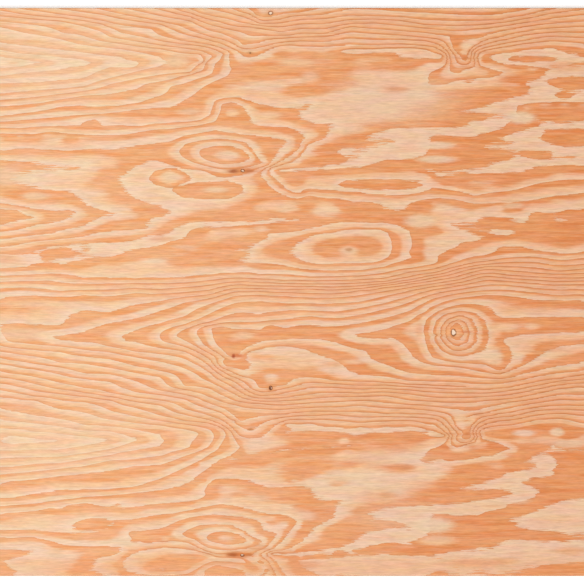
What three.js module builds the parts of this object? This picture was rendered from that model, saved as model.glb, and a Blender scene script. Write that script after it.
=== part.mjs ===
// A plywood sheet: seven peeled veneers glued flat on one another, the grain of each across the next.
// Millimetres, +Z up. The sheet lies face up. +X runs along the grain of the face, and the origin is
// the middle of the underside.
import * as THREE from "three";

// Driving dimensions
const sheetLength = 2440;
const sheetWidth = 1220;
const faceThickness = 2.25;
const backThickness = 2.25;
const crossbandThickness = 2.7;
const longPlyThickness = 2.7;
const coreThickness = 2.7;

// Open knots: where a branch fell out of the face veneer, its hole shows the crossband below. The
// lathe cuts each branch again on every turn of the log, so two of the branches left a hole twice.
const middleKnotY = -86.8;
const upperKnotY = 260.5;
const lowerKnotY = -206.2;
const topEdgeKnotInset = 10.7;
const bottomEdgeKnotInset = 45.1;
const knotWallTaper = 0.3;
const knotOutlinePoints = 36;

// A hole is a turned ellipse with a wavy rim. Its size is half its length along X and half its width
// along Y before the turn, the waves are shares of that size, and the angles are in degrees.
const openKnots = [
  {
    place: { x: 347.1, y: middleKnotY },
    ellipse: { halfLength: 4.5, halfWidth: 6.2, turn: 8 },
    rim: { waves: 3, swell: 0.13, phase: 40 },
  },
  {
    place: { x: -46.0, y: sheetWidth / 2 - topEdgeKnotInset },
    ellipse: { halfLength: 4.0, halfWidth: 3.1, turn: 14 },
    rim: { waves: 3, swell: 0.05, phase: 0 },
  },
  {
    place: { x: -45.8, y: lowerKnotY },
    ellipse: { halfLength: 2.5, halfWidth: 3.5, turn: 16 },
    rim: { waves: 2, swell: 0.1, phase: 30 },
  },
  {
    place: { x: -105.9, y: upperKnotY },
    ellipse: { halfLength: 3.4, halfWidth: 2.1, turn: -6 },
    rim: { waves: 3, swell: 0.1, phase: 90 },
  },
  {
    place: { x: -107.2, y: bottomEdgeKnotInset - sheetWidth / 2 },
    ellipse: { halfLength: 3.3, halfWidth: 2.0, turn: 4 },
    rim: { waves: 3, swell: 0.08, phase: 20 },
  },
];

// The lay-up from the back to the face, with the colour that each ply shows on its edges. The long
// plies' grain runs along X, and the crossbands' and the core's along Y.
const layUp = [
  { name: "back_veneer", thickness: backThickness, colour: 0xe8bd90 },
  { name: "lower_crossband", thickness: crossbandThickness, colour: 0xd9a878 },
  { name: "lower_long_ply", thickness: longPlyThickness, colour: 0xeac59b },
  { name: "core_ply", thickness: coreThickness, colour: 0xd6a473 },
  { name: "upper_long_ply", thickness: longPlyThickness, colour: 0xe9c298 },
  { name: "upper_crossband", thickness: crossbandThickness, colour: 0xdba97a },
  { name: "face_veneer", thickness: faceThickness, colour: 0xedb489, knots: openKnots },
];

// Glue lines lie on a fine grid of heights that 32-bit numbers hold exactly, so that two plies that
// touch share one plane.
const heightGrid = 1 / 1024;
const onHeightGrid = (height) => Math.round(height / heightGrid) * heightGrid;

// The wavy ellipse of a knot's hole, drawn in evenly by a small distance.
const knotOutline = ({ place, ellipse, rim }, drawnIn) => {
  const centre = new THREE.Vector2(place.x, place.y);
  const turn = THREE.MathUtils.degToRad(ellipse.turn);
  const phase = THREE.MathUtils.degToRad(rim.phase);
  const points = [];
  for (let i = 0; i < knotOutlinePoints; i += 1) {
    const angle = (2 * Math.PI * i) / knotOutlinePoints;
    const swelling = 1 + rim.swell * Math.cos(rim.waves * angle + phase);
    const x = place.x + (ellipse.halfLength - drawnIn) * swelling * Math.cos(angle);
    const y = place.y + (ellipse.halfWidth - drawnIn) * swelling * Math.sin(angle);
    points.push(new THREE.Vector2(x, y).rotateAround(centre, turn));
  }
  return points;
};

// A rectangle as large as the sheet, centred on the origin.
const sheetOutline = () => {
  const x = sheetLength / 2;
  const y = sheetWidth / 2;
  return new THREE.Shape([
    new THREE.Vector2(-x, -y),
    new THREE.Vector2(x, -y),
    new THREE.Vector2(x, y),
    new THREE.Vector2(-x, y),
  ]);
};

// A branch narrows towards the pith, which is below the face. Each corner of a hole's rim on the
// veneer's underside moves to the same corner of the drawn-in outline.
const taperKnotWalls = (geometry, knots) => {
  const position = geometry.attributes.position;
  const vertex = new THREE.Vector2();
  for (const knot of knots) {
    const upperRim = knotOutline(knot, 0);
    const lowerRim = knotOutline(knot, knotWallTaper);
    for (let i = 0; i < position.count; i += 1) {
      vertex.set(position.getX(i), position.getY(i));
      const corner = upperRim.findIndex((point) => point.distanceTo(vertex) < heightGrid);
      if (corner >= 0 && position.getZ(i) === 0) {
        position.setXY(i, lowerRim[corner].x, lowerRim[corner].y);
      }
    }
  }
};

// One ply, standing on its own underside: the sheet's rectangle, less its open knots.
const plyGeometry = (thickness, knots) => {
  const outline = sheetOutline();
  outline.holes = knots.map((knot) => new THREE.Path(knotOutline(knot, 0)));
  const geometry = new THREE.ExtrudeGeometry(outline, { depth: thickness, bevelEnabled: false });
  taperKnotWalls(geometry, knots);
  return geometry;
};

const plywoodSheet = new THREE.Group();
let height = 0;
for (const ply of layUp) {
  const underside = onHeightGrid(height);
  const top = onHeightGrid(height + ply.thickness);
  const material = new THREE.MeshStandardMaterial({ color: ply.colour, roughness: 0.75, metalness: 0 });
  const mesh = new THREE.Mesh(plyGeometry(top - underside, ply.knots ?? []), material);
  mesh.name = ply.name;
  mesh.position.z = underside;
  plywoodSheet.add(mesh);
  height += ply.thickness;
}

export default plywoodSheet;
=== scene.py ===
import math

import bpy
import numpy as np
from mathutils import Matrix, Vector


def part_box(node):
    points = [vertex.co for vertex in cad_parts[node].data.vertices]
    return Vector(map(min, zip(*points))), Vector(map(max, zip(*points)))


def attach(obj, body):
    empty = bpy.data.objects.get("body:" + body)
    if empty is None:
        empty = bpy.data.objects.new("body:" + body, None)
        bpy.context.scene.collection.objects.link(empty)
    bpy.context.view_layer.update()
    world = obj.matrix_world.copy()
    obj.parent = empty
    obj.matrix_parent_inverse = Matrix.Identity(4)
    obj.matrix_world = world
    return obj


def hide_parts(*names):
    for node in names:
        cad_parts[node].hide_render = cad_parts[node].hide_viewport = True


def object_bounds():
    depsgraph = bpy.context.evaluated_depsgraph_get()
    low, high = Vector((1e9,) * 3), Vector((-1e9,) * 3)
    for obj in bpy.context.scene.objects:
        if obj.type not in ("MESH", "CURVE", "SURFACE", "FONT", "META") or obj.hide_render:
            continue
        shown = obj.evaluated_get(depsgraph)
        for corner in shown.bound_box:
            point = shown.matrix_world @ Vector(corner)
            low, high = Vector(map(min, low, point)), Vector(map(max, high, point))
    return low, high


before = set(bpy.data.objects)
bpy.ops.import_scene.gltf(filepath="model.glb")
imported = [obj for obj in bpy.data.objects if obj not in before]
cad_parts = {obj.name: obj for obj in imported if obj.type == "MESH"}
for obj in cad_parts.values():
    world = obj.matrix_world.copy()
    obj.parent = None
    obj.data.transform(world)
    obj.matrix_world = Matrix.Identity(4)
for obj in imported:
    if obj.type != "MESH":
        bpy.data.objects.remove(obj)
cadLow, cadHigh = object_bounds()
print("frame loaded")

mm = 0.001


def tint(code):
    # A hex colour as light: each channel goes from screen value to light by the screen's curve.
    light = []
    for start in (0, 2, 4):
        channel = int(code[start:start + 2], 16) / 255
        light.append(channel / 12.92 if channel <= 0.04045 else ((channel + 0.055) / 1.055) ** 2.4)
    return (*light, 1.0)


def addNode(tree, kind, values=None, **settings):
    # A node with its settings, and with each input either set or linked.
    node = tree.nodes.new(kind)
    for name, value in settings.items():
        setattr(node, name, value)
    for key, value in (values or {}).items():
        if isinstance(value, bpy.types.NodeSocket):
            tree.links.new(value, node.inputs[key])
        else:
            node.inputs[key].default_value = value
    return node


def sums(tree, operation, *numbers):
    # One sum of up to three numbers.
    return addNode(tree, "ShaderNodeMath", dict(enumerate(numbers)), operation=operation).outputs[0]


def placeSums(tree, operation, *places):
    # One sum of places, such as a difference. The length of a place is a number.
    node = addNode(tree, "ShaderNodeVectorMath", dict(enumerate(places)), operation=operation)
    return node.outputs["Value" if operation == "LENGTH" else "Vector"]


def smoothMask(tree, value, start, end):
    # 0 before start and 1 after end, with a soft step between.
    node = addNode(tree, "ShaderNodeMapRange", {"Value": value, "From Min": start, "From Max": end},
                   interpolation_type="SMOOTHSTEP")
    return node.outputs["Result"]


def blendColours(tree, factor, first, second, blend="MIX"):
    # From the first colour to the second as the factor goes from 0 to 1.
    node = addNode(tree, "ShaderNodeMix", {0: factor, 6: first, 7: second}, data_type="RGBA",
                   blend_type=blend)
    return node.outputs[2]


def blendValues(tree, factor, first, second):
    # The same for two numbers.
    return addNode(tree, "ShaderNodeMix", {0: factor, 2: first, 3: second}).outputs[0]


def newGroup(name, inputs, outputs):
    # An empty group and its two ends. Each input has what it starts from: a number, a colour, or None
    # for a place. An output is a colour or a number.
    group = bpy.data.node_groups.new(name, "ShaderNodeTree")
    kinds = {float: "NodeSocketFloat", tuple: "NodeSocketColor", type(None): "NodeSocketVector"}
    for socketName, value in inputs.items():
        socket = group.interface.new_socket(name=socketName, in_out="INPUT",
                                            socket_type=kinds[type(value)])
        if value is not None:
            socket.default_value = value
    for socketName in outputs:
        kind = kinds[tuple if socketName == "Colour" else float]
        group.interface.new_socket(name=socketName, in_out="OUTPUT", socket_type=kind)
    return group, group.nodes.new("NodeGroupInput").outputs, group.nodes.new("NodeGroupOutput").inputs


def placeGroup(tree, group, values):
    # The outputs of a group that is placed in a tree with its values.
    return addNode(tree, "ShaderNodeGroup", values, node_tree=group).outputs


def objectPlace(tree):
    # Object coordinates in millimetres, and the direction that the surface faces.
    coords = addNode(tree, "ShaderNodeTexCoord").outputs
    return placeSums(tree, "MULTIPLY", coords["Object"], (1 / mm, 1 / mm, 1 / mm)), coords["Normal"]


def parts(tree, place):
    # A place's or a direction's X, Y and Z.
    return addNode(tree, "ShaderNodeSeparateXYZ", {0: place}).outputs


def facing(tree, normal, axis):
    # 1 where the surface faces along one axis, either way, and 0 where it faces across it.
    return smoothMask(tree, sums(tree, "ABSOLUTE", parts(tree, normal)[axis]), 0.4, 0.6)


def makeFibreGroup():
    # Streaks along X: noise whose places are divided by the fibre's length along X and by its width
    # across, so that it draws out lengthwise. All places are in millimetres.
    group, given, out = newGroup("fibre streaks",
                                 {"Place": None, "Length": 60.0, "Width": 2.0, "Detail": 2.0},
                                 ["Streaks"])
    across = sums(group, "DIVIDE", 1.0, given["Width"])
    along = sums(group, "DIVIDE", 1.0, given["Length"])
    stretch = addNode(group, "ShaderNodeCombineXYZ", {0: along, 1: across, 2: across}).outputs[0]
    noise = addNode(group, "ShaderNodeTexNoise",
                    {"Vector": placeSums(group, "MULTIPLY", given["Place"], stretch), "Scale": 1.0,
                     "Detail": given["Detail"], "Roughness": 0.55})
    group.links.new(noise.outputs[0], out["Streaks"])
    return group


fibreGroup = makeFibreGroup()


def streaks(tree, place, size):
    # The fibre group's streaks. Their size is a length and a width in millimetres, and their detail.
    length, width, detail = size
    return placeGroup(tree, fibreGroup, {"Place": place, "Length": length, "Width": width,
                                         "Detail": detail})["Streaks"]


growthRings = {
    "swayStreaks": (90.0, 9.0, 1.0),   # what sways the rings, in millimetres as all streaks are
    "sway": 0.10,                      # how far they sway, in rings
    "frayStreaks": (38.0, 2.0, 3.0),   # what frays the edge of each ring
    "fray": 0.30,                      # how far it frays, in rings
    "crowdedFray": -0.20,              # what is added to that where rings are crowded
    "reach": 16.0,                     # how far fibres carry a colour along the grain, in millimetres
    "carryLimit": 3.5,                 # how soon that levels off where rings change fast
    "close": (0.02, 0.09),             # rings in a millimetre from which they are close, and fully so
    "crowded": (0.05, 0.12),           # the same for crowded
    "lateStart": 0.46,                 # share of a ring where late wood starts
    "closeDelay": 0.20,                # how much later it starts where rings are close
    "lateBlend": 0.13,                 # share of a ring that half the change to late wood takes
    "brightEnd": 0.34,                 # share of a ring where its brightest wood ends
    "crowdedWarmth": 0.45,             # how much late wood colours the early wood of crowded rings
    "deepStreaks": (110.0, 8.0, 3.0),  # where late wood is deepest
    "deep": (0.42, 0.66),              # streak values from which it is deep, and fully so
    "lineWidth": (0.7, 2.8),           # how far its dark line is full, and reaches, in millimetres
    "leastPace": 0.002,                # keeps the line narrow where rings hardly change
    "lineStrength": 0.45,
    "crowdedLine": 0.55,               # what is added to that where rings are crowded
}


def makeRingGroup():
    # The figure of a peeled veneer from a number that counts the rings outwards. Within a ring, the
    # share passed is 0 at the start of its pale early wood and 1 at the dark end of its late wood.
    # Along is the change of that number in a millimetre along the grain, and Pace its change in the
    # direction in which it changes most. Fibres carry the colours a little way along the grain, so an
    # edge that crosses them frays. Crowded rings have warmer early wood and less late wood.
    look = growthRings
    group, given, out = newGroup(
        "growth rings",
        {"Ring": 0.0, "Along": 0.0, "Pace": 0.05, "Place": None, "Bright wood": tint("f5d6b6"),
         "Early wood": tint("f4ccaa"), "Late wood": tint("eca273"), "Deep wood": tint("e2925a"),
         "Ring end": tint("d4986e")},
        ["Colour", "Late"])
    crowded = smoothMask(group, given["Pace"], *look["crowded"])
    close = smoothMask(group, given["Pace"], *look["close"])

    # the ring number, swayed, frayed and carried along the grain
    swayed = sums(group, "SUBTRACT", streaks(group, given["Place"], look["swayStreaks"]), 0.5)
    frayed = sums(group, "SUBTRACT", streaks(group, given["Place"], look["frayStreaks"]), 0.5)
    carried = sums(group, "MULTIPLY", sums(group, "MULTIPLY", given["Along"], look["reach"]), frayed)
    levelled = sums(group, "MULTIPLY_ADD", sums(group, "ABSOLUTE", carried), look["carryLimit"], 1.0)
    carried = sums(group, "DIVIDE", carried, levelled)
    ring = sums(group, "MULTIPLY_ADD", swayed, look["sway"], given["Ring"])
    fray = sums(group, "MULTIPLY_ADD", crowded, look["crowdedFray"], look["fray"])
    ring = sums(group, "MULTIPLY_ADD", frayed, fray, sums(group, "ADD", ring, carried))
    share = sums(group, "FRACT", ring)

    # how far a place is late wood, and how far it is the dark line at the ring's end
    start = sums(group, "MULTIPLY_ADD", close, look["closeDelay"], look["lateStart"])
    late = smoothMask(group, share, sums(group, "SUBTRACT", start, look["lateBlend"]),
                      sums(group, "ADD", start, look["lateBlend"]))
    toEnd = sums(group, "DIVIDE", sums(group, "SUBTRACT", 1.0, share),
                 sums(group, "MAXIMUM", given["Pace"], look["leastPace"]))
    end = sums(group, "SUBTRACT", 1.0, smoothMask(group, toEnd, *look["lineWidth"]))

    # its colours
    early = smoothMask(group, share, 0.0, look["brightEnd"])
    early = blendColours(group, early, given["Bright wood"], given["Early wood"])
    early = blendColours(group, sums(group, "MULTIPLY", crowded, look["crowdedWarmth"]), early,
                         given["Late wood"])
    deep = smoothMask(group, streaks(group, given["Place"], look["deepStreaks"]), *look["deep"])
    deep = sums(group, "MULTIPLY", deep, sums(group, "SUBTRACT", 1.0, crowded))
    colour = blendColours(group, late, early,
                          blendColours(group, deep, given["Late wood"], given["Deep wood"]))
    strength = sums(group, "MULTIPLY_ADD", crowded, look["crowdedLine"], look["lineStrength"])
    colour = blendColours(group, sums(group, "MULTIPLY", end, strength), colour, given["Ring end"])
    group.links.new(colour, out["Colour"])
    group.links.new(late, out["Late"])
    return group


stainLook = {
    "fibres": (9.0, 1.6, 2.0),  # the streaks that roughen a stain's edge
    "roughening": 0.5,          # how far they do, in half sizes of the stain
}


def makeStainGroup():
    # A colour laid over another inside an ellipse. The distance from the centre, in half sizes and
    # roughened by fibres, is full strength up to one value and nothing from another.
    group, given, out = newGroup(
        "stain",
        {"Colour": tint("f0c090"), "Place": None, "Centre": None, "Half size": None, "Fibres": 0.5,
         "Full to": 0.3, "Gone at": 1.2, "Strength": 1.0, "Stain": tint("8a4a28")},
        ["Colour"])
    offset = placeSums(group, "SUBTRACT", given["Place"], given["Centre"])
    offset = placeSums(group, "MULTIPLY", offset, (1, 1, 0))  # the height doesn't count
    away = placeSums(group, "LENGTH", placeSums(group, "DIVIDE", offset, given["Half size"]))
    away = sums(group, "MULTIPLY_ADD", sums(group, "SUBTRACT", given["Fibres"], 0.5),
                stainLook["roughening"], away)
    mask = sums(group, "SUBTRACT", 1.0, smoothMask(group, away, given["Full to"], given["Gone at"]))
    strength = sums(group, "MULTIPLY", mask, given["Strength"])
    colour = blendColours(group, strength, given["Colour"], given["Stain"])
    group.links.new(colour, out["Colour"])
    return group


def layStains(tree, colour, place, stains):
    # Each stain over the last. A stain is its centre and half size in millimetres, how far it is at
    # full strength, where it ends, its strength and its colour. Fibres roughen them all alike.
    fibres = streaks(tree, place, stainLook["fibres"])
    for x, y, halfLength, halfWidth, full, gone, strength, code in stains:
        colour = placeGroup(tree, stainGroup, {
            "Colour": colour, "Place": place, "Centre": (x, y, 0),
            "Half size": (halfLength, halfWidth, 1), "Fibres": fibres, "Full to": full,
            "Gone at": gone, "Strength": strength, "Stain": tint(code)})["Colour"]
    return colour


sawnEdge = {
    "sideStreaks": (30.0, 0.5, 3.0),  # the fibres seen along their length
    "sideShades": (0.32, 0.68),       # streak values from which side grain darkens, and fully so
    "sideDark": (0.80, 1.12),         # how bright and how strong the dark fibres' colour is
    "pores": (2.6, 4.0, 0.7),         # the cut fibres' speckle: scale, detail and roughness
    "poreShades": (0.35, 0.65),
    "poreDark": (0.66, 1.10),
    "poreStrength": 0.75,
    "growth": (0.09, 2.0, 0.5),       # slow changes of shade, as the speckle is given
    "growthShades": (0.45, 0.72),
    "growthColour": "f0cda6",
    "glueReach": (0.03, 0.22),        # millimetres from the glue where it is full, and gone
    "glueColour": "5b3a26",
    "glueStrength": 0.72,
    "glueDepth": 0.8,                 # how far it lies below the wood, as a share of the relief
}


def makeEdgeGroup():
    # A sawn edge, from a place whose X runs along the fibres. Where a face looks along the fibres it
    # is end grain, speckled with cut fibres, and elsewhere side grain, streaked along X. Close to the
    # glue, which is near the ply's underside and top, it darkens.
    look = sawnEdge
    group, given, out = newGroup(
        "sawn edge",
        {"Place": None, "End grain": 0.0, "Height": 0.0, "Underside": 0.0, "Top": 1.0,
         "Side colour": tint("ecc79c"), "End colour": tint("c98f5f"),
         "Glue colour": tint(look["glueColour"])},
        ["Colour", "Relief"])

    def speckle(scale, detail, roughness):
        return addNode(group, "ShaderNodeTexNoise",
                       {"Vector": given["Place"], "Scale": scale, "Detail": detail,
                        "Roughness": roughness}).outputs[0]

    def darkened(colour, brightness, strength):
        return addNode(group, "ShaderNodeHueSaturation",
                       {"Value": brightness, "Saturation": strength, "Color": colour}).outputs[0]

    side, pores = streaks(group, given["Place"], look["sideStreaks"]), speckle(*look["pores"])
    sideColour = blendColours(group, smoothMask(group, side, *look["sideShades"]),
                              given["Side colour"], darkened(given["Side colour"], *look["sideDark"]))
    poreShade = sums(group, "MULTIPLY", smoothMask(group, pores, *look["poreShades"]),
                     look["poreStrength"])
    endColour = blendColours(group, poreShade, given["End colour"],
                             darkened(given["End colour"], *look["poreDark"]))
    colour = blendColours(group, given["End grain"], sideColour, endColour)
    growth = smoothMask(group, speckle(*look["growth"]), *look["growthShades"])
    colour = blendColours(group, growth, colour,
                          blendColours(group, 1.0, colour, tint(look["growthColour"]), "MULTIPLY"))
    toGlue = sums(group, "MINIMUM", sums(group, "SUBTRACT", given["Height"], given["Underside"]),
                  sums(group, "SUBTRACT", given["Top"], given["Height"]))
    glue = sums(group, "SUBTRACT", 1.0, smoothMask(group, toGlue, *look["glueReach"]))
    colour = blendColours(group, sums(group, "MULTIPLY", glue, look["glueStrength"]), colour,
                          given["Glue colour"])
    relief = blendValues(group, given["End grain"], side, pores)
    relief = sums(group, "MULTIPLY_ADD", glue, -look["glueDepth"], relief)
    group.links.new(colour, out["Colour"])
    group.links.new(relief, out["Relief"])
    return group


ringGroup = makeRingGroup()
edgeGroup = makeEdgeGroup()
stainGroup = makeStainGroup()
print("shared effects built")

tiny = 1e-7                    # metres: places closer than this are one
blockSteps = 8                 # steps along each side of the block round a knot
loopShares = (0.4, 0.75, 1.0)  # how far each loop lies from the block's edge towards the knot's rim


def smoothNoise(seed, x, y, lengthX, lengthY, waves=24):
    # The sum of plane waves of equal size, with random directions and starts, whose lengths are about
    # lengthX along X and lengthY along Y.
    dice = np.random.default_rng(seed)
    total = np.zeros_like(x)
    for _ in range(waves):
        angle, start = dice.uniform(0, 2 * np.pi, 2)
        speed = dice.uniform(0.6, 1.4)
        along = x / lengthX * np.cos(angle) + y / lengthY * np.sin(angle)
        total += np.cos(2 * np.pi * speed * along + start)
    return total * math.sqrt(2 / waves)


def openSteps(start, end, pitch):
    # Even steps, no longer than the pitch, which is a list of (up to, pitch).
    stops = [start, *[edge for edge, _ in pitch if start < edge < end], end]
    lines = []
    for a, b in zip(stops[:-1], stops[1:]):
        step = next(size for edge, size in pitch if (a + b) / 2 < edge)
        lines.append(np.linspace(a, b, max(1, math.ceil((b - a) / step)) + 1)[:-1])
    return np.concatenate(lines)


def spacedLines(low, high, pitch, blocks):
    # Places from low to high: each block, (start, end, steps), is cut in even steps of its own, and
    # the gaps between blocks in even steps no longer than the pitch.
    stops = sorted([low, high, *[edge for block in blocks for edge in block[:2]]])
    lines = []
    for start, end in zip(stops[:-1], stops[1:]):
        if end - start < tiny:
            continue
        steps = next((block[2] for block in blocks if abs(block[0] - start) < tiny), None)
        if steps is None:
            lines.append(openSteps(start, end, pitch))
        else:
            lines.append(np.linspace(start, end, steps + 1)[:-1])
    return np.append(np.concatenate(lines), high)


def putMesh(name, points, sizes, corners):
    # A mesh from its points, the number of corners of each face and the faces' corners in a row.
    mesh = bpy.data.meshes.new(name)
    mesh.vertices.add(len(points))
    mesh.vertices.foreach_set("co", np.asarray(points, dtype=np.float32).ravel())
    mesh.loops.add(len(corners))
    mesh.loops.foreach_set("vertex_index", np.asarray(corners, dtype=np.int32))
    mesh.polygons.add(len(sizes))
    starts = np.concatenate([[0], np.cumsum(sizes)[:-1]])
    mesh.polygons.foreach_set("loop_start", starts.astype(np.int32))
    mesh.update(calc_edges=True)
    mesh.validate()
    piece = bpy.data.objects.new(name, mesh)
    bpy.context.scene.collection.objects.link(piece)
    return piece


def turned(places, degrees):
    # Places turned about the origin.
    c, s = math.cos(math.radians(degrees)), math.sin(math.radians(degrees))
    return places @ np.array([[c, s], [-s, c]])


def knotRim(knot, angles, drawnIn):
    # A wavy ellipse turned about its centre: at each angle, the half sizes less the drawn-in part,
    # times 1 plus the swell of the cosine waves, along X and Y.
    x, y, halfLength, halfWidth, turn, waves, swell, phase = knot
    grown = 1 + swell * np.cos(waves * angles + math.radians(phase))
    along = (halfLength - drawnIn) * grown * np.cos(angles)
    across = (halfWidth - drawnIn) * grown * np.sin(angles)
    return turned(np.column_stack([along, across]), turn) + (x, y)


def knotAngles(knot, places):
    # The angle of each place round a knot, in the knot's own turn and proportions.
    x, y, halfLength, halfWidth, turn, *_ = knot
    along, across = turned(places - (x, y), -turn).T
    return np.arctan2(across / halfWidth, along / halfLength)


def plyPiece(name, low, high, settings, seams=()):
    # A ply as a closed shell. The top is a grid of columns and rows. Round each knot a block of the
    # grid is taken out, and loops step evenly from the block's edge to the knot's rim. The walls go
    # down from the rim and the grid's edge, and the underside has lines only where a block's edges
    # are. A seam is a very narrow column of its own.
    knots, blocks = settings["knots"], settings["blocks"]
    columnBlocks = {(b[0], b[1], blockSteps) for b in blocks} | {(a, b, 1) for a, b in seams}
    rowBlocks = {(b[2], b[3], blockSteps) for b in blocks}
    columns = spacedLines(low.x, high.x, settings["columns"], sorted(columnBlocks))
    rows = spacedLines(low.y, high.y, settings["rows"], sorted(rowBlocks))
    points, sizes, corners = [], [], []

    def addPoints(places, z):
        # points at one height, which gives their numbers
        first = sum(len(part) for part in points)
        points.append(np.column_stack([places, np.full(len(places), z)]))
        return np.arange(first, first + len(places))

    def addFaces(faces):
        sizes.append(np.full(len(faces), faces.shape[1]))
        corners.append(faces.ravel())

    def gridPlaces(acrossLines, upLines):
        return np.stack(np.meshgrid(acrossLines, upLines), axis=-1).reshape(-1, 2)

    top = gridPlaces(columns, rows)
    index = addPoints(top, high.z).reshape(len(rows), len(columns))
    solid = np.ones((len(rows) - 1, len(columns) - 1), dtype=bool)
    rims = []
    for knot, block in zip(knots, blocks):
        left, right = np.searchsorted(columns, np.array(block[:2]) - tiny)
        bottom, upper = np.searchsorted(rows, np.array(block[2:]) - tiny)
        solid[bottom:upper, left:right] = False
        border = np.concatenate([index[bottom, left:right], index[bottom:upper, right],
                                 index[upper, right:left:-1], index[upper:bottom:-1, left]])
        edge = top[border]
        angles = knotAngles(knot, edge)
        rim = knotRim(knot, angles, 0)
        loops = [border, *[addPoints(edge + (rim - edge) * share, high.z) for share in loopShares],
                 addPoints(knotRim(knot, angles, settings["wallTaper"]), low.z)]
        for outer, inner in zip(loops[:-1], loops[1:]):
            addFaces(np.stack([outer, np.roll(outer, -1), np.roll(inner, -1), inner], axis=1))
        rims.append(loops[-1])
    quads = np.stack([index[:-1, :-1], index[:-1, 1:], index[1:, 1:], index[1:, :-1]], axis=-1)
    addFaces(quads[solid])

    lowX = sorted({low.x, high.x, *[edge for block in blocks for edge in block[:2]]})
    lowY = sorted({low.y, high.y, *[edge for block in blocks for edge in block[2:]]})
    under = addPoints(gridPlaces(lowX, lowY), low.z).reshape(len(lowY), len(lowX))
    stopX = np.searchsorted(columns, np.array(lowX) - tiny)
    stopY = np.searchsorted(rows, np.array(lowY) - tiny)
    # A wall has one face over each stretch of the underside's edge. It is listed forwards along one
    # side of the ply and backwards along the other, so that both look outwards.
    for grid, feet, stops, backFirst in ((index, under, stopX, True),
                                         (index.T, under.T, stopY, False)):
        for start, (a, b) in enumerate(zip(stops[:-1], stops[1:])):
            for side, backwards in ((0, backFirst), (-1, not backFirst)):
                foot, edge = feet[side, start:start + 2], grid[side, a:b + 1]
                face = [foot, edge[::-1]] if backwards else [foot[::-1], edge]
                addFaces(np.concatenate(face)[None])
    rimAt = {(lowX.index(block[0]), lowY.index(block[2])): rim for block, rim in zip(blocks, rims)}
    for j in range(len(lowY) - 1):
        for i in range(len(lowX) - 1):
            cell = [under[j, i], under[j, i + 1], under[j + 1, i + 1], under[j + 1, i]]
            if (i, j) not in rimAt:
                addFaces(np.array([cell[::-1]]))
                continue
            for side in range(4):
                steps = np.arange(side * blockSteps, (side + 1) * blockSteps + 1)
                part = np.take(rimAt[i, j], steps, mode="wrap")
                addFaces(np.concatenate([[cell[(side + 1) % 4], cell[side]], part])[None])
    used, corners = np.unique(np.concatenate(corners), return_inverse=True)  # no loose points
    return putMesh(name, np.concatenate(points)[used], np.concatenate(sizes), corners)


def meshPlaces(mesh):
    # Every point's place, as one array.
    places = np.empty(len(mesh.vertices) * 3, dtype=np.float32)
    mesh.vertices.foreach_get("co", places)
    return places.reshape(-1, 3)


def addRings(piece, ringAt):
    # Each point's ring number, kept with the mesh, and how fast it changes for each millimetre along
    # the grain and in all: the change over a short step, less the whole ring that a ring end adds.
    x, y = meshPlaces(piece.data)[:, :2].astype(float).T
    rings = ringAt(x, y)
    step = 1.5  # millimetres
    along = ringAt(x + step * mm, y) - rings
    across = ringAt(x, y + step * mm) - rings
    along, across = (along - np.round(along)) / step, (across - np.round(across)) / step
    for name, values in (("ring", rings), ("along", along), ("pace", np.hypot(along, across))):
        attribute = piece.data.attributes.new(name, "FLOAT", "POINT")
        attribute.data.foreach_set("value", values.astype(np.float32))


def addBakeMap(piece, low, high):
    # A flat map of the ply: each corner's share of its length, and of its width.
    mesh = piece.data
    corners = np.empty(len(mesh.loops), dtype=np.int32)
    mesh.loops.foreach_get("vertex_index", corners)
    places = meshPlaces(mesh)[corners]
    along = (places[:, 0] - low.x) / (high.x - low.x)
    across = (places[:, 1] - low.y) / (high.y - low.y)
    places = np.stack([along, across], axis=1).astype(np.float32)
    mesh.uv_layers.new(name="OFBake").data.foreach_set("uv", places.ravel())


def newMaterial(name):
    # A material with its nodes and its shader.
    material = bpy.data.materials.new(name)
    material.use_nodes = True
    return material, material.node_tree, material.node_tree.nodes["Principled BSDF"]


veneerWood = {
    "warmer": (-620.0, 620.0),           # colours run from the left end's to the right end's, by x
    "paleStreaks": (220.0, 26.0, 2.0),   # where early wood is palest
    "palest": (0.44, 0.72),              # streak values from which it is paler, and fully so
    "fineStreaks": (55.0, 1.3, 3.0),
    "fineDark": (0.50, 0.75, 0.30),      # dark fibres: from and fully from what value, strength
    "finePale": (0.50, 0.27, 0.35),      # the same for pale fibres
    "bandStreaks": (160.0, 5.0, 2.0),
    "bandWarm": (0.48, 0.72, 0.22),      # the same for orange bands
    "castStreaks": (60.0, 14.0, 2.0),
    "castShades": (0.28, 0.72),
    "castTints": ("fff8fd", "fefff6"),   # slow changes between rosier and yellower wood
    "mottleStreaks": (20.0, 2.8, 3.0),
    "mottle": (0.55, 0.738),             # brightness: the streaks times the first, plus the second
    "lateRelief": 0.5,                   # how far late wood stands up, beside the fine fibres
    "bump": {"Strength": 0.35, "Distance": 0.4 * mm},
    "lateGloss": 0.08,                   # how much smoother late wood is
    "specular": 0.3,
}


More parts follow.
